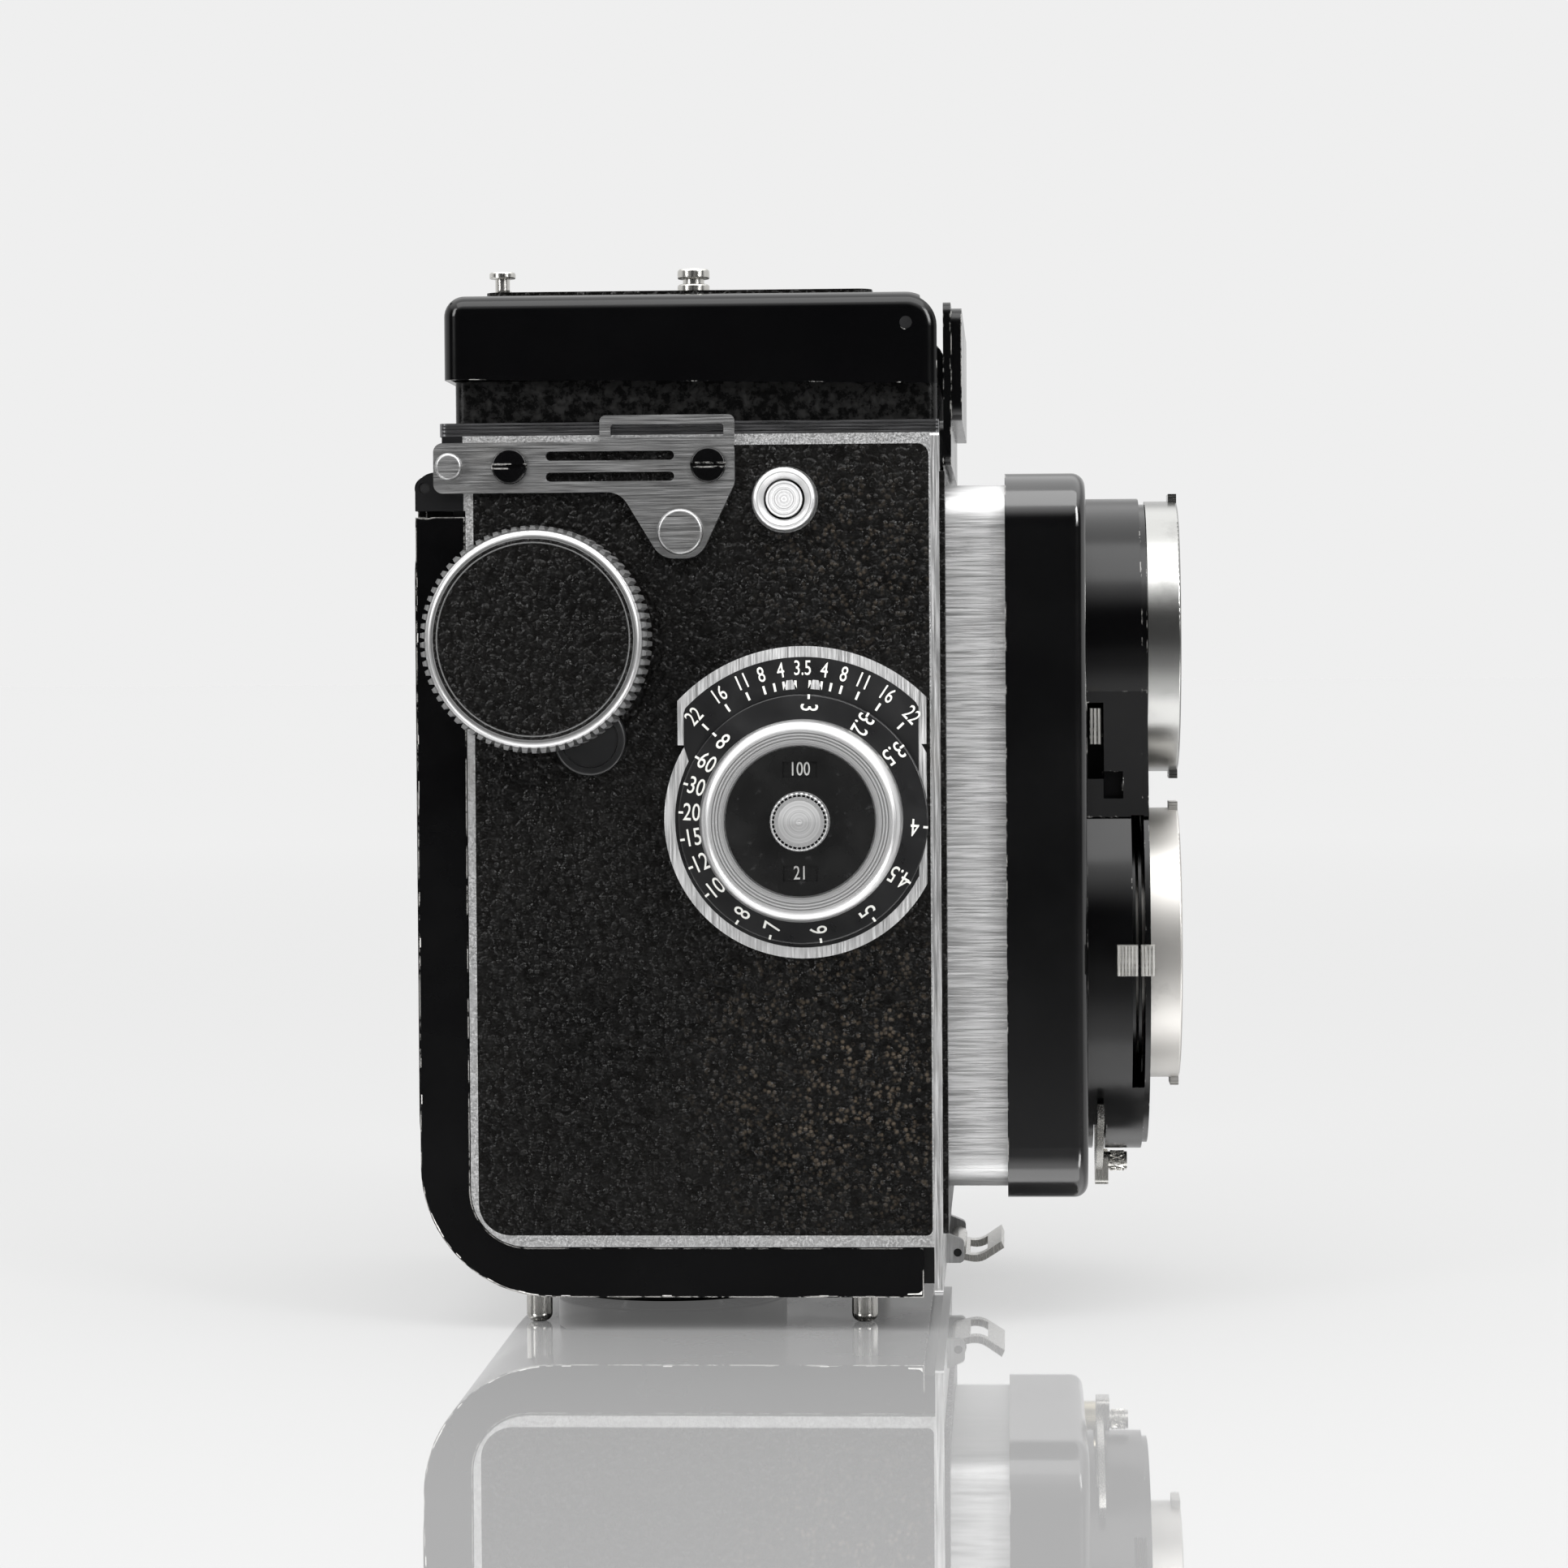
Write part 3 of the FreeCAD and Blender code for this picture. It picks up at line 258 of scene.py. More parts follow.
def brushed(name, colour, along, rough=0.3, stain=0.15, metal=1.0, grain=0.12, black=None):
    """Metal with fine brush lines along one axis, a few duller stains and, if asked, a painted part."""
    m = Nodes(name, rough, metal)
    scale = [5200.0, 5200.0, 5200.0]
    scale["XYZ".index(along)] = 140.0
    lines = m.noise(1.0, 4, 0.6, at=m.stretched(scale))
    blot = m.noise(120, 6, 0.65)
    light = tuple(min(1.0, c * 1.14) for c in colour)
    dark = tuple(c * 0.8 for c in colour)
    base = m.ramp(lines, (0.3, dark), (0.7, light))
    tint = (colour[0] * 0.62, colour[1] * 0.57, colour[2] * 0.5)
    base = m.mix(m.math("MULTIPLY", m.ramp(blot, (0.55, 0.0), (0.75, 1.0)), stain), base, tint)
    finish = m.ramp(lines, (0.3, rough * 0.75), (0.7, rough * 1.35))
    if black:
        paint = black(m)
        base = m.mix(paint, base, (0.004, 0.004, 0.0045))
        finish = m.mix(paint, finish, (0.3, 0.3, 0.3))
        m.link(m.math("SUBTRACT", 1.0, paint), m.bsdf.inputs["Metallic"])
    m.colour(base)
    m.roughness(finish)
    m.bump(lines, grain, 0.00003)
    return m.mat


def lever_paint(m):
    """The levers' rings are blackened; only the finger pieces outside the housing are bright."""
    return m.math("LESS_THAN", m.radius((0, 0, TAKING_Z), "X"), 0.0262)


def shell_paint(m):
    """The shell is bright only on its two sides and in front of the door."""
    x, y, _ = m.split()
    inner = m.math("LESS_THAN", m.math("ABSOLUTE", y, 0.0), 0.0366)
    return m.math("MAXIMUM", inner, m.math("LESS_THAN", x, -0.0235))


def speed_disc(name):
    """Satin black disc with a turned metal boss in the middle."""
    m = Nodes(name, 0.3)
    r = m.radius((FOCUS[0], 0, FOCUS[1]))
    boss = m.math("LESS_THAN", r, 0.0038)
    combine = m.add("ShaderNodeCombineXYZ")
    m.link(m.math("MULTIPLY", r, 5200.0), combine.inputs["X"])
    rings = m.noise(1.0, 3, at=combine.outputs["Vector"])
    metal = m.ramp(rings, (0.3, 0.34), (0.7, 0.58))
    dust = m.ramp(m.noise(700, 5, 0.7), (0.6, (0.006, 0.006, 0.006)), (0.74, (0.03, 0.03, 0.03)))
    m.colour(m.mix(boss, dust, metal))
    m.link(boss, m.bsdf.inputs["Metallic"])
    m.roughness(m.mix(boss, m.ramp(m.noise(200, 4), (0.3, 0.2), (0.7, 0.34)), (0.48, 0.48, 0.48)))
    m.bump(rings, 0.08, 0.00002)
    return m.mat


def turned(name, colour, centre, axis, rough=0.22, stain=0.1):
    """Metal turned on a lathe: fine rings about an axis through the centre."""
    m = Nodes(name, rough, 1.0)
    shift = m.add("ShaderNodeMapping")
    shift.inputs["Location"].default_value = [-c * MM for c in centre]
    flat = [1.0, 1.0, 1.0]
    flat["XYZ".index(axis)] = 0.02
    m.link(m.place, shift.inputs["Vector"])
    squash = m.add("ShaderNodeMapping")
    squash.inputs["Scale"].default_value = flat
    m.link(shift.outputs["Vector"], squash.inputs["Vector"])
    length = m.add("ShaderNodeVectorMath", operation="LENGTH")
    m.link(squash.outputs["Vector"], length.inputs[0])
    combine = m.add("ShaderNodeCombineXYZ")
    m.link(m.math("MULTIPLY", length.outputs["Value"], 5200.0), combine.inputs["X"])
    rings = m.noise(1.0, 3, at=combine.outputs["Vector"])
    light = tuple(min(1.0, c * 1.1) for c in colour)
    base = m.ramp(rings, (0.3, tuple(c * 0.8 for c in colour)), (0.7, light))
    blot = m.ramp(m.noise(150, 6, 0.65), (0.55, 0.0), (0.75, 1.0))
    m.colour(m.mix(m.math("MULTIPLY", blot, stain), base, tuple(c * 0.5 for c in colour)))
    m.roughness(m.ramp(rings, (0.3, rough * 0.7), (0.7, rough * 1.4)))
    m.bump(rings, 0.1, 0.00002)
    return m.mat


def satin(name, colour, rough=0.4):
    """Satin paint with faint dust and scuffs."""
    m = Nodes(name, rough)
    dust = m.ramp(m.noise(700, 5, 0.7), (0.6, 0.0), (0.72, 0.25))
    m.colour(m.mix(dust, colour, tuple(min(1.0, c * 1.6 + 0.02) for c in colour)))
    m.roughness(m.ramp(m.noise(200, 4), (0.3, rough * 0.8), (0.7, rough * 1.3)))
    m.bump(m.noise(1500, 2), 0.05, 0.00003)
    return m.mat


def coated_glass(name, colour, rough=0.03):
    """Deep coated glass, seen as a dark mirror with a faint tint."""
    m = Nodes(name, rough)
    m.bsdf.inputs["Coat Weight"].default_value = 1.0
    m.bsdf.inputs["Coat Roughness"].default_value = 0.02
    m.bsdf.inputs["Specular IOR Level"].default_value = 0.8
    m.colour(m.ramp(m.noise(30, 2), (0.3, colour), (0.7, tuple(c * 1.6 for c in colour))))
    m.roughness(m.ramp(m.noise(500, 3), (0.4, rough), (0.8, rough * 2.5)))
    return m.mat


def new_node(tree, kind, **props):
    """Adds a node to a tree and sets its properties."""
    node = tree.nodes.new(kind)
    for key, value in props.items():
        setattr(node, key, value)
    return node


def remap(tree, value, source, target, **props):
    """Carries a value from the source span to the target span, held at its ends."""
    node = new_node(tree, "ShaderNodeMapRange", **props)
    keys = ("From Min", "From Max", "To Min", "To Max")
    for key, level in zip(keys, (*source, *target)):
        node.inputs[key].default_value = level
    tree.links.new(value, node.inputs["Value"])
    return node.outputs["Result"]


def floor_material():
    """Pale glossy sheet that softly mirrors the camera. Its glow is only there when seen directly."""
    mat = bpy.data.materials.new("pale_floor")
    mat.use_nodes = True
    tree = mat.node_tree
    place = tree.nodes.new("ShaderNodeTexCoord").outputs["Object"]
    direct = tree.nodes.new("ShaderNodeLightPath").outputs["Is Camera Ray"]
    sheet = tree.nodes["Principled BSDF"]
    sheet.inputs["Roughness"].default_value = 1.0
    sheet.inputs["Specular IOR Level"].default_value = 0.0
    sheet.inputs["Emission Color"].default_value = (1, 1, 1, 1)

    split = tree.nodes.new("ShaderNodeSeparateXYZ")
    tree.links.new(place, split.inputs[0])
    fade = remap(tree, split.outputs["Y"], (-0.7, -0.1), (0.01, FLOOR_DIFFUSE))
    tone = tree.nodes.new("ShaderNodeMix")
    tree.links.new(direct, tone.inputs["Factor"])
    tree.links.new(fade, tone.inputs["A"])
    tone.inputs["B"].default_value = FLOOR_TONE
    tree.links.new(tone.outputs["Result"], sheet.inputs["Base Color"])

    away = new_node(tree, "ShaderNodeVectorMath", operation="LENGTH")
    tree.links.new(place, away.inputs[0])
    rise = remap(tree, away.outputs["Value"], (0.25, 1.6), (FLOOR_GLOW, FLOOR_GLOW + GLOW_RISE))
    glow = new_node(tree, "ShaderNodeMath", operation="MULTIPLY")
    tree.links.new(direct, glow.inputs[0])
    tree.links.new(rise, glow.inputs[1])
    tree.links.new(glow.outputs["Value"], sheet.inputs["Emission Strength"])

    gloss = tree.nodes.new("ShaderNodeBsdfGlossy")
    gloss.inputs["Roughness"].default_value = 0.02
    gloss.inputs["Color"].default_value = (1, 1, 1, 1)
    both = tree.nodes.new("ShaderNodeMixShader")
    both.inputs["Fac"].default_value = FLOOR_MIRROR
    tree.links.new(sheet.outputs["BSDF"], both.inputs[1])
    tree.links.new(gloss.outputs["BSDF"], both.inputs[2])
    tree.links.new(both.outputs["Shader"], tree.nodes["Material Output"].inputs["Surface"])
    return mat


MAT = {
    "leather": leather("leather_black"),
    "leather_side": leather("leather_side", worn=0.9),
    "enamel": enamel("enamel_black"),
    "enamel_lid": enamel("enamel_lid", 0.12, 0.0, width=0.0002),
    # the door's heavier, wider edge rubbing is partly worn paint and partly a painted highlight along its
    # rounded edges
    "enamel_door": enamel("enamel_door", 0.2, 0.8, width=0.0003, shine=0.2),
    "enamel_board": enamel("enamel_board", 0.12, 0.35, shine=0.95),
    "housing": enamel("enamel_housing", 0.17, 0.1, 0.03),
    "crinkle": crinkle("crinkle_black"),
    "casting": brushed("casting_bright", (0.60, 0.60, 0.60), "Z", 0.42, 0.3),
    "lever": brushed("lever_nickel", (0.66, 0.65, 0.62), "X", 0.36, 0.25, black=lever_paint),
    "shell": brushed("shell_bright", (0.60, 0.60, 0.60), "Y", 0.42, 0.3, black=shell_paint),
    "light_box": brushed("light_box_brushed", (0.68, 0.68, 0.68), "X", 0.48, 0.1, grain=0.05),
    "strap": brushed("strap_brushed", (0.36, 0.36, 0.36), "X", 0.36, 0.25, grain=0.25),
    "trim": brushed("trim_dark", (0.20, 0.20, 0.205), "X", 0.3, 0.2),
    "plate": brushed("dial_plate", (0.76, 0.76, 0.76), "Z", 0.45, 0.12),
    "wind": turned("wind_turned", (0.56, 0.56, 0.56), WIND_AXIS, "Y", 0.34),
    "focus": turned("focus_turned", (0.72, 0.72, 0.72), FOCUS_AXIS, "Y", 0.36),
    "collar": turned("collar_turned", (0.9, 0.9, 0.9), BUTTON_AXIS, "Y", 0.38),
    "view_barrel": turned("viewing_turned", (0.36, 0.36, 0.35), VIEWING_AXIS, "X", 0.22, 0.45),
    "take_barrel": turned("taking_turned", (0.60, 0.585, 0.56), TAKING_AXIS, "X", 0.4, 0.6),
    "rib": brushed("rib_nickel", (0.75, 0.74, 0.71), "Z", 0.4, 0.3),
    # the tripod plate's near-black colour is painted shade under the body; its turned rings are real
    "plate_shaded": turned("tripod_turned_shaded", (0.07, 0.07, 0.068), (0, 0, 0), "Z", 0.3),
    # bright metal of the painted highlight along the door's edge, and of its small worn chip
    "worn": brushed("edge_highlight_and_worn_metal", (0.85, 0.84, 0.82), "Z", 0.6, 0.4),
    "nickel": brushed("nickel_plain", (0.62, 0.61, 0.58), "Z", 0.24, 0.3),
    "steel": brushed("steel_plain", (0.42, 0.42, 0.42), "Y", 0.3, 0.2),
    "brass": brushed("brass_nickelled", (0.55, 0.50, 0.38), "X", 0.3, 0.3),
    "satin": satin("satin_black", (0.009, 0.009, 0.0095), 0.32),
    "speed_disc": speed_disc("speed_disc"),
    "button": turned("button_turned", (0.85, 0.85, 0.85), BUTTON_AXIS, "Y", 0.52),
    "spool": satin("spool_black", (0.02, 0.02, 0.022), 0.45),
    "ink": satin("ink_white", (0.78, 0.78, 0.74), 0.5),
    "ink_dim": satin("ink_dim", (0.34, 0.34, 0.33), 0.5),
    "glass_view": coated_glass("glass_viewing", (0.010, 0.012, 0.022)),
    "glass_take": coated_glass("glass_taking", (0.014, 0.009, 0.020)),
    "screen": satin("ground_screen", (0.52, 0.54, 0.52), 0.6),
    "mirror": coated_glass("mirror_silver", (0.55, 0.57, 0.6), 0.02),
    "magnifier": coated_glass("glass_magnifier", (0.20, 0.22, 0.22)),
}

NODE_MATERIAL = {
    "body_shell": "shell", "body_leather": "leather_side", "film_gate": "steel",
    "film_roller_low": "nickel", "film_roller_high": "nickel", "front_plate": "casting",
    "front_leather": "leather", "light_box": "light_box", "reflex_mirror": "mirror",
    "focusing_screen": "screen", "top_trim": "trim", "hood_base": "crinkle", "hinge_pins": "satin",
    "name_plate": "enamel", "strap_plates": "strap", "strap_screws": "enamel",
    "button_collar": "collar", "side_button": "button", "counter_window": "satin",
    "depth_scale_plate": "plate", "winding_knob": "wind", "winding_knob_leather": "leather",
    "take_up_spool": "spool", "supply_spool": "spool", "spool_knob_upper": "nickel",
    "spool_knob_lower": "nickel", "focus_knob": "focus", "distance_ring": "satin",
    "film_speed_disc": "speed_disc", "lens_board_shell": "enamel_board", "shutter_housing": "housing",
    "viewing_barrel": "view_barrel", "taking_barrel": "take_barrel", "viewing_lens": "glass_view",
    "taking_lens": "glass_take", "lens_retainers": "satin", "shutter_case": "brass",
    "shutter_blades": "steel", "aperture_blades": "steel", "shutter_speed_lever": "lever",
    "aperture_lever": "lever", "release_lever": "nickel", "sync_lever": "nickel",
    "flash_socket": "brass", "hood_lid": "enamel_lid", "lid_leather": "leather",
    "finder_flap": "enamel", "lid_catch": "nickel", "top_stud": "nickel",
    "hood_flap_right": "satin", "hood_flap_left": "satin", "hood_flap_rear": "satin",
    "magnifier_frame": "satin", "magnifier_lens": "magnifier", "door_shell": "enamel_door",
    "door_leather": "leather", "tripod_plate": "plate_shaded", "feet": "nickel",
    "pressure_plate": "satin", "latch_lever": "nickel",
}


# edge bevel of each node in millimetres
BEVELS = {"name_plate": 0.2, "strap_plates": 0.12, "door_shell": 0.35, "front_plate": 0.15,
          "depth_scale_plate": 0.15, "light_box": 0.2, "top_trim": 0.1, "latch_lever": 0.15,
          "shutter_speed_lever": 0.08, "aperture_lever": 0.08, "release_lever": 0.12, "side_button": 0.3,
          "hood_lid": 0.25, "body_leather": 0.2, "lid_leather": 0.2, "door_leather": 0.2}


def dress(obj, material, bevel=0.0):
    """Gives a piece its material and, when a width is given, a small edge bevel."""
    obj.data.materials.clear()
    obj.data.materials.append(MAT[material])
    if bevel:
        mod = obj.modifiers.new("edge", "BEVEL")
        mod.width = bevel * MM
        mod.segments = 2
        mod.limit_method = "ANGLE"
        mod.angle_limit = math.radians(40)


# ---------------------------------------------------------------- new pieces

def piece(name, material, body, verts, faces, slot=None):
    """Mesh from millimetre points, riding on a CAD body."""
    mesh = bpy.data.meshes.new(name)
    mesh.from_pydata([Vector(v) * MM for v in verts], [], faces)
    mesh.update()
    obj = bpy.data.objects.new(name, mesh)
    bpy.context.scene.collection.objects.link(obj)
    bm = bmesh.new()
    bm.from_mesh(mesh)
    bmesh.ops.recalc_face_normals(bm, faces=bm.faces)
    bm.to_mesh(mesh)
    bm.free()
    mesh.materials.append(MAT[material])
    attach(obj, body)
    return obj


def prism(points, y0, y1):
    """Closed outline of (x, z) points carried from y0 to y1, as vertices and faces."""
    n = len(points)
    verts = [(x, y0, z) for x, z in points] + [(x, y1, z) for x, z in points]
    faces = [tuple(range(n)), tuple(range(2 * n - 1, n - 1, -1))]
    faces += [(i, (i + 1) % n, n + (i + 1) % n, n + i) for i in range(n)]
    return verts, faces


def merged(parts):
    """Several (verts, faces) pairs as one."""
    verts, faces = [], []
    for part_verts, part_faces in parts:
        base = len(verts)
        verts += part_verts
        faces += [tuple(base + i for i in face) for face in part_faces]
    return verts, faces


def polar(centre, r, degrees):
    """Point at a clock angle: 0 is up, positive runs clockwise as seen from the right side."""
    a = math.radians(degrees)
    return centre[0] + r * math.sin(a), centre[1] + r * math.cos(a)


def knurl(name, material, body, centre, r_in, r_out, y0, y1, teeth):
    """Ring of straight teeth about an axis along Y."""
    parts = []
    half = 180.0 / teeth
    for i in range(teeth):
        a = 360.0 * i / teeth
        points = [polar(centre, r_in, a - half * 0.8), polar(centre, r_out, a - half * 0.45),
                  polar(centre, r_out, a + half * 0.45), polar(centre, r_in, a + half * 0.8)]
        parts.append(prism(points, y0, y1))
    return piece(name, material, body, *merged(parts))


def tick(centre, r0, r1, angle, width):
    """Radial mark as an (x, z) outline."""
    a = math.radians(angle)
    side = (math.cos(a) * width / 2, -math.sin(a) * width / 2)
    p0, p1 = polar(centre, r0, angle), polar(centre, r1, angle)
    return [(p0[0] - side[0], p0[1] - side[1]), (p1[0] - side[0], p1[1] - side[1]),
            (p1[0] + side[0], p1[1] + side[1]), (p0[0] + side[0], p0[1] + side[1])]


def number(name, text, body, at, y, size, turn=0.0, material="ink", narrow=0.72):
    """Numeral lying on a dial that faces the photographer's right."""
    curve = bpy.data.curves.new(name, "FONT")
    curve.body = text
    curve.size = size * MM
    curve.align_x = "CENTER"
    curve.align_y = "CENTER"
    curve.resolution_u = 3
    curve.extrude = 0.01 * MM
    curve.offset = 0.004 * size * MM
    obj = bpy.data.objects.new(name, curve)
    bpy.context.scene.collection.objects.link(obj)
    upright = Matrix.Rotation(math.radians(90), 4, "X")
    spin = Matrix.Rotation(math.radians(turn), 4, "Y")
    squeeze = Matrix.Diagonal((narrow, 1, 1, 1))
    obj.matrix_world = Matrix.Translation(Vector((at[0], y, at[1])) * MM) @ spin @ upright @ squeeze
    obj.data.materials.append(MAT[material])
    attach(obj, body)
    return obj


def dial_inlay():
    """Black enamel sunk in the bright dial plate."""
    outline = []
    for i in range(41):
        a = -49 + 98 * i / 40
        x, z = polar(FOCUS, 20.9, a)
        outline.append((min(max(x, FOCUS[0] - 15.4), FOCUS[0] + 14.9), z))
    outline += [(FOCUS[0] + 14.9, FOCUS[1] + 9.5), (FOCUS[0] + 14.9, FOCUS[1] - 7.5)]
    outline += [polar(FOCUS, 16.6, a) for a in range(117, 301, 4)]
    outline.append((FOCUS[0] - 15.4, FOCUS[1] + 9.5))
    piece("dial_inlay", "satin", "camera_body", *prism(outline, DIAL_Y - 0.06, DIAL_Y + 0.05))


def depth_scale():
    """Numerals and ticks of the depth-of-field scale."""
    y = DIAL_Y - 0.1
    marks = [("22", 46.5), ("16", 34), ("11", 23.8), ("8", 16.0), ("4", 8.4)]
    for text, angle in marks:
        for sign in (-1, 1):
            name = "depth_%s_%s" % (text, "a" if sign < 0 else "b")
            number(name, text, "camera_body", polar(FOCUS, 19.3, sign * angle), y, 2.8, sign * angle)
    number("depth_centre", "3.5", "camera_body", polar(FOCUS, 19.4, 0), y, 2.7)
    ticks = [tick(FOCUS, 16.8, 17.9, sign * a, 0.3)
             for a in (3, 8, 12, 16.5, 24, 34, 46.5) for sign in (-1, 1)]
    wedge = [[polar(FOCUS, 16.8, s * 5.4 + 3.0), polar(FOCUS, 18.0, s * 5.4 + 1.2),
              polar(FOCUS, 18.0, s * 5.4 - 1.2), polar(FOCUS, 16.8, s * 5.4 - 3.0)] for s in (-1, 1)]
    parts = [prism(t, y - 0.02, y + 0.03) for t in ticks]
    piece("depth_ticks", "ink", "camera_body", *merged(parts))
    piece("depth_wedges", "plate", "camera_body", *merged([prism(w, y - 0.02, y + 0.03) for w in wedge]))


def distance_scale():
    """Numerals and ticks on the turning distance ring."""
    y = RING_Y - 0.03
    scale = [("3", 3), ("3.2", 32), ("3.5", 54), ("4", 94), ("4.5", 121), ("5", 145), ("6", 172), ("7", 196),
             ("8", 213), ("10", 232), ("12", 247), ("15", 260.6), ("20", 273.5), ("30", 287), ("60", 300.5),
             ("8", 314)]
    for i, (text, angle) in enumerate(scale):
        number("distance_%02d" % i, text, "focus_knob", polar(FOCUS, 14.4, angle), y, 3.2, angle + 90)
    ticks = [prism(tick(FOCUS, 15.5, 16.1, angle, 0.3), y - 0.02, y + 0.03) for _, angle in scale]
    piece("distance_ticks", "ink", "focus_knob", *merged(ticks))


def film_speed_marks():
    """Numbers in the two windows of the film-speed disc."""
    for name, text, dz in (("speed_upper", "100", 6.6), ("speed_lower", "21", -6.6)):
        number(name, text, "film_speed_disc", (FOCUS[0], FOCUS[1] + dz), SPEED_NUMBER_Y, 2.5, 0, "ink_dim")
    knurl("speed_knurl", "focus", "film_speed_disc", FOCUS, 3.2, 3.75, SPEED_Y - 1.9, SPEED_Y - 0.1, 36)


def winding_rim():
    """The leather face reaches almost to the teeth of the winding knob."""
    steps = range(0, 360, 5)
    verts = [(x, y, z) for r, y in ((12.0, -SIDE - 11.43), (12.6, -SIDE - 11.54), (13.0, -SIDE - 11.45))
             for x, z in (polar(WIND, r, a) for a in steps)]
    n = len(steps)
    faces = [(k * n + i, k * n + (i + 1) % n, (k + 1) * n + (i + 1) % n, (k + 1) * n + i)
             for k in (0, 1) for i in range(n)]
    piece("winding_rim", "leather", "winding_knob", verts, faces)


def winding_teeth():
    """Teeth round the rim of the winding knob."""
    knurl("winding_teeth", "wind", "winding_knob", WIND, 13.7, 14.45, -SIDE - 11.0, -SIDE - 2.5, 74)


def spool_knob_teeth():
    """Teeth round the two pull-out spool knobs."""
    for name, centre in (("spool_knob_upper", WIND), ("spool_knob_lower", SUPPLY)):
        knurl(name + "_teeth", "nickel", name, centre, 8.7, 9.1, SIDE + 1.2, SIDE + 3.8, 60)


def tab_ribs():
    """Straight ribs across the bright tabs of the setting levers and the sync lever."""
    y = -math.sqrt(LEVER_RING ** 2 - TAB_HALF ** 2) - TAB_REACH
    for name, x0, x1, low, high, face in (("shutter_speed_lever", 60.9, 63.6, 45.55, 49.45, y),
                                          ("aperture_lever", 64.0, 65.8, 45.55, 49.45, y),
                                          ("sync_lever", 57.6, 59.1, 75.65, 80.35, -20.6)):
        count = int((x1 - x0) / 0.42)
        pitch = (x1 - x0) / count
        parts = []
        for i in range(count):
            x = x0 + pitch * (i + 0.5)
            points = [(x - 0.14, low), (x + 0.14, low), (x + 0.14, high), (x - 0.14, high)]
            parts.append(prism(points, face - 0.16, face + 0.5))
        piece(name + "_ribs", "rib", name, *merged(parts))


def door_edge_highlight_and_wear():
    """Painted highlight: a bright line, broken here and there, where light catches the rounded edge of the
    door's right side; it is widest round the rear corner, and the small chip at the front end of the bottom
    edge is worn paint.
    """
    x0, z0 = DOOR_CORNER
    path = [(x0 - DOOR_RADIUS, 98.0 - DOOR_STEP * i) for i in range(64)]
    path += [(x0 - DOOR_RADIUS * math.cos(math.radians(a)), z0 - DOOR_RADIUS * math.sin(math.radians(a)))
             for a in range(0, 91, 3)]
    path += [(x0 + DOOR_STEP * i, z0 - DOOR_RADIUS) for i in range(1, 40)]
    parts = []
    # painted highlight along the door's rounded edge, wider round the rear corner
    for i, (a, b) in enumerate(zip(path, path[1:])):
        wave = math.sin(i * 0.37) + math.sin(i * 1.13 + 1) + 0.7 * math.sin(i * 2.9 + 2)
        corner = 1.3 if 70 < i < 98 else 0.0
        width = 0.055 * (wave + corner) - 0.03
        if width <= 0.02:
            continue
        dx, dz = b[0] - a[0], b[1] - a[1]
        n = math.hypot(dx, dz)
        off = (-dz / n * width, dx / n * width)
        parts.append(prism([a, b, (b[0] + off[0], b[1] + off[1]), (a[0] + off[0], a[1] + off[1])],
                           *DOOR_HIGHLIGHT_AND_WEAR_Y))
    chip = [(33.4, 4.75), (35.3, 4.75), (35.35, 5.3), (34.9, 4.95), (33.5, 4.9)]
    parts.append(prism(chip, *DOOR_HIGHLIGHT_AND_WEAR_Y))
    piece("door_edge_highlight_and_wear", "worn", "back_door", *merged(parts))


def lid_ribs():
    """Three short grip ribs on the rear of the lid."""
    parts = []
    for z in (126.2, 127.9, 129.6):
        outline = [(-26.05, z - 0.45), (-26.5, z - 0.2), (-26.5, z + 0.2), (-26.05, z + 0.45)]
        parts.append(prism(outline, -7, 7))
    piece("lid_ribs", "enamel_lid", "hood_lid", *merged(parts))


def finger_knurl():
    """Cross-cut knurling round the release lever's finger piece."""
    parts = []
    for i in range(14):
        a = 2 * math.pi * i / 14
        for x0, twist in ((60.5, 0.5), (60.5, -0.5)):
            ring = []
            for x, t in ((x0, 0.0), (x0 + 1.9, twist)):
                for r, w in ((1.22, -0.09), (1.42, 0.0), (1.22, 0.09)):
                    ring.append((x, r * math.sin(a + t + w), 17.9 + r * math.cos(a + t + w)))
            parts.append((ring, [(0, 1, 4, 3), (1, 2, 5, 4), (0, 3, 5, 2), (0, 2, 1), (3, 4, 5)]))
    piece("finger_knurl", "nickel", "release_lever", *merged(parts))


# ---------------------------------------------------------------- stage

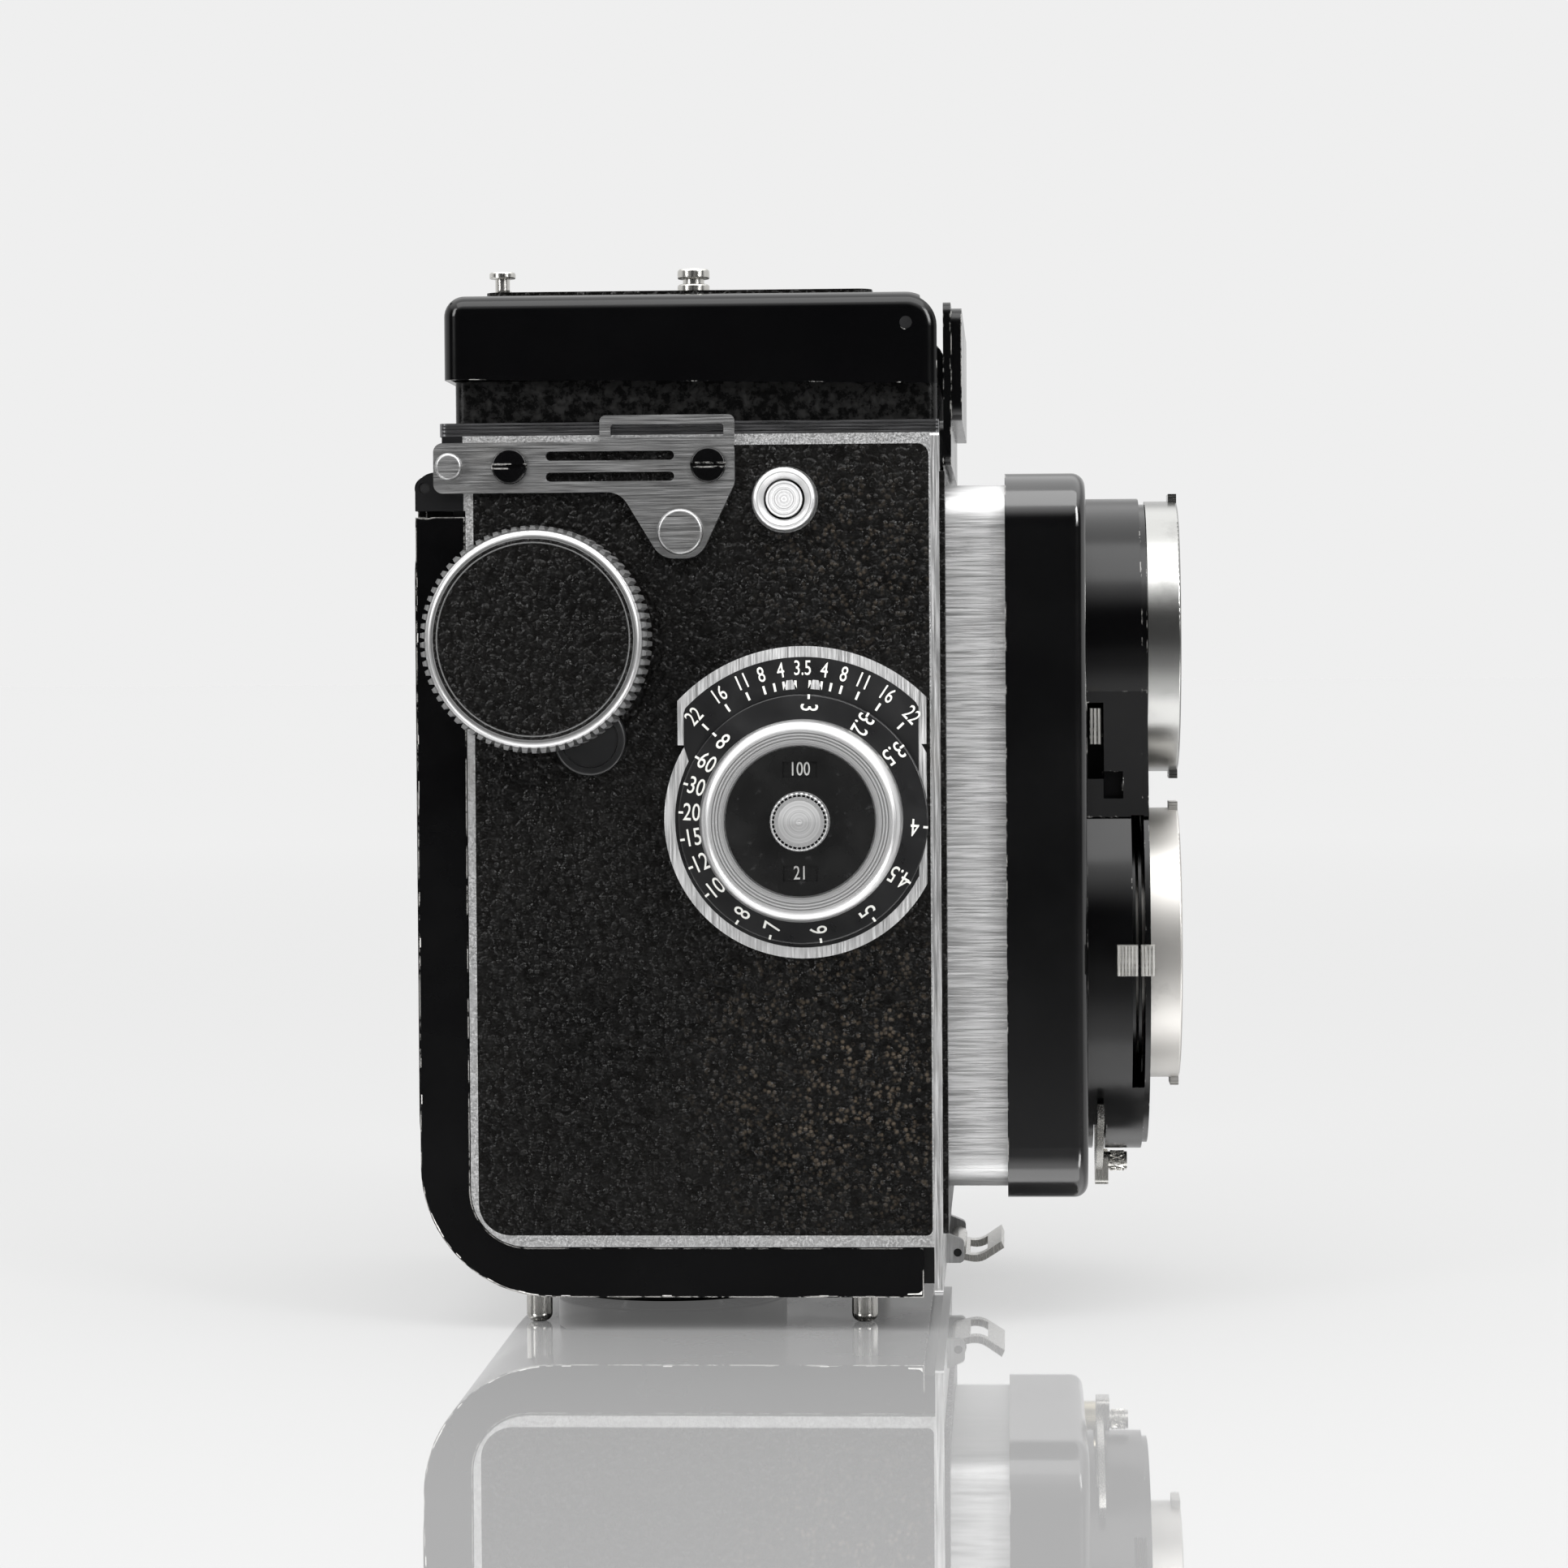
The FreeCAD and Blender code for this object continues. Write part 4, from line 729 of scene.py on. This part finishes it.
def studio():
    """Wide pale floor in plain pale surroundings that are darker on the camera's side."""
    far = FLOOR_REACH
    mesh = bpy.data.meshes.new("floor")
    mesh.from_pydata([(-far, -far, 0), (far, -far, 0), (far, far, 0), (-far, far, 0)], [], [(0, 1, 2, 3)])
    floor = bpy.data.objects.new("floor", mesh)
    bpy.context.scene.collection.objects.link(floor)
    mesh.materials.append(floor_material())
    world = bpy.data.worlds.new("studio")
    world.use_nodes = True
    tree = world.node_tree
    direction = tree.nodes.new("ShaderNodeTexCoord").outputs["Generated"]
    split = tree.nodes.new("ShaderNodeSeparateXYZ")
    tree.links.new(direction, split.inputs[0])
    behind = remap(tree, split.outputs["Y"], (-0.3, 0.0), (0.02, BACKDROP), interpolation_type="SMOOTHSTEP")
    above = remap(tree, split.outputs["Z"], (0.35, 0.8), (0.0, OVERHEAD), interpolation_type="SMOOTHSTEP")
    most = new_node(tree, "ShaderNodeMath", operation="MAXIMUM")
    tree.links.new(behind, most.inputs[0])
    tree.links.new(above, most.inputs[1])
    seen = tree.nodes.new("ShaderNodeMix")
    tree.links.new(tree.nodes.new("ShaderNodeLightPath").outputs["Is Camera Ray"], seen.inputs["Factor"])
    tree.links.new(most.outputs["Value"], seen.inputs["A"])
    seen.inputs["B"].default_value = BACKDROP
    background = tree.nodes["Background"]
    background.inputs["Color"].default_value = (1, 1, 1, 1)
    tree.links.new(seen.outputs["Result"], background.inputs["Strength"])
    bpy.context.scene.world = world


def area(name, at, towards, width, height, power):
    """Rectangular soft light at one place, turned towards another."""
    lamp = bpy.data.lights.new(name, "AREA")
    lamp.shape = "RECTANGLE"
    lamp.size = width
    lamp.size_y = height
    lamp.energy = power
    obj = bpy.data.objects.new(name, lamp)
    bpy.context.scene.collection.objects.link(obj)
    obj.location = at
    obj.rotation_euler = (Vector(towards) - Vector(at)).to_track_quat("-Z", "Y").to_euler()


def camera():
    """Long lens a little in front of the side-on view and a little above the middle."""
    target = Vector(CAMERA_AIM) * MM
    a, e = CAMERA_AZIMUTH, CAMERA_ELEVATION
    away = Vector((math.sin(a) * math.cos(e), -math.cos(a) * math.cos(e), math.sin(e)))
    data = bpy.data.cameras.new("photo_camera")
    data.sensor_width = 36.0
    data.lens = CAMERA_LENS
    obj = bpy.data.objects.new("photo_camera", data)
    bpy.context.scene.collection.objects.link(obj)
    look = (-away).to_track_quat("-Z", "Y").to_matrix().to_4x4()
    roll = Matrix.Rotation(CAMERA_ROLL, 4, "Z")
    obj.matrix_world = Matrix.Translation(target + away * CAMERA_DISTANCE) @ look @ roll
    bpy.context.scene.camera = obj


for node, material in NODE_MATERIAL.items():
    dress(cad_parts[node], material, BEVELS.get(node, 0.0))

dial_inlay()
depth_scale()
distance_scale()
film_speed_marks()
winding_rim()
winding_teeth()
spool_knob_teeth()
tab_ribs()
door_edge_highlight_and_wear()
lid_ribs()
finger_knurl()
studio()
for lamp_values in LAMPS:
    area(*lamp_values)
camera()
bpy.context.scene.view_settings.view_transform = "Standard"
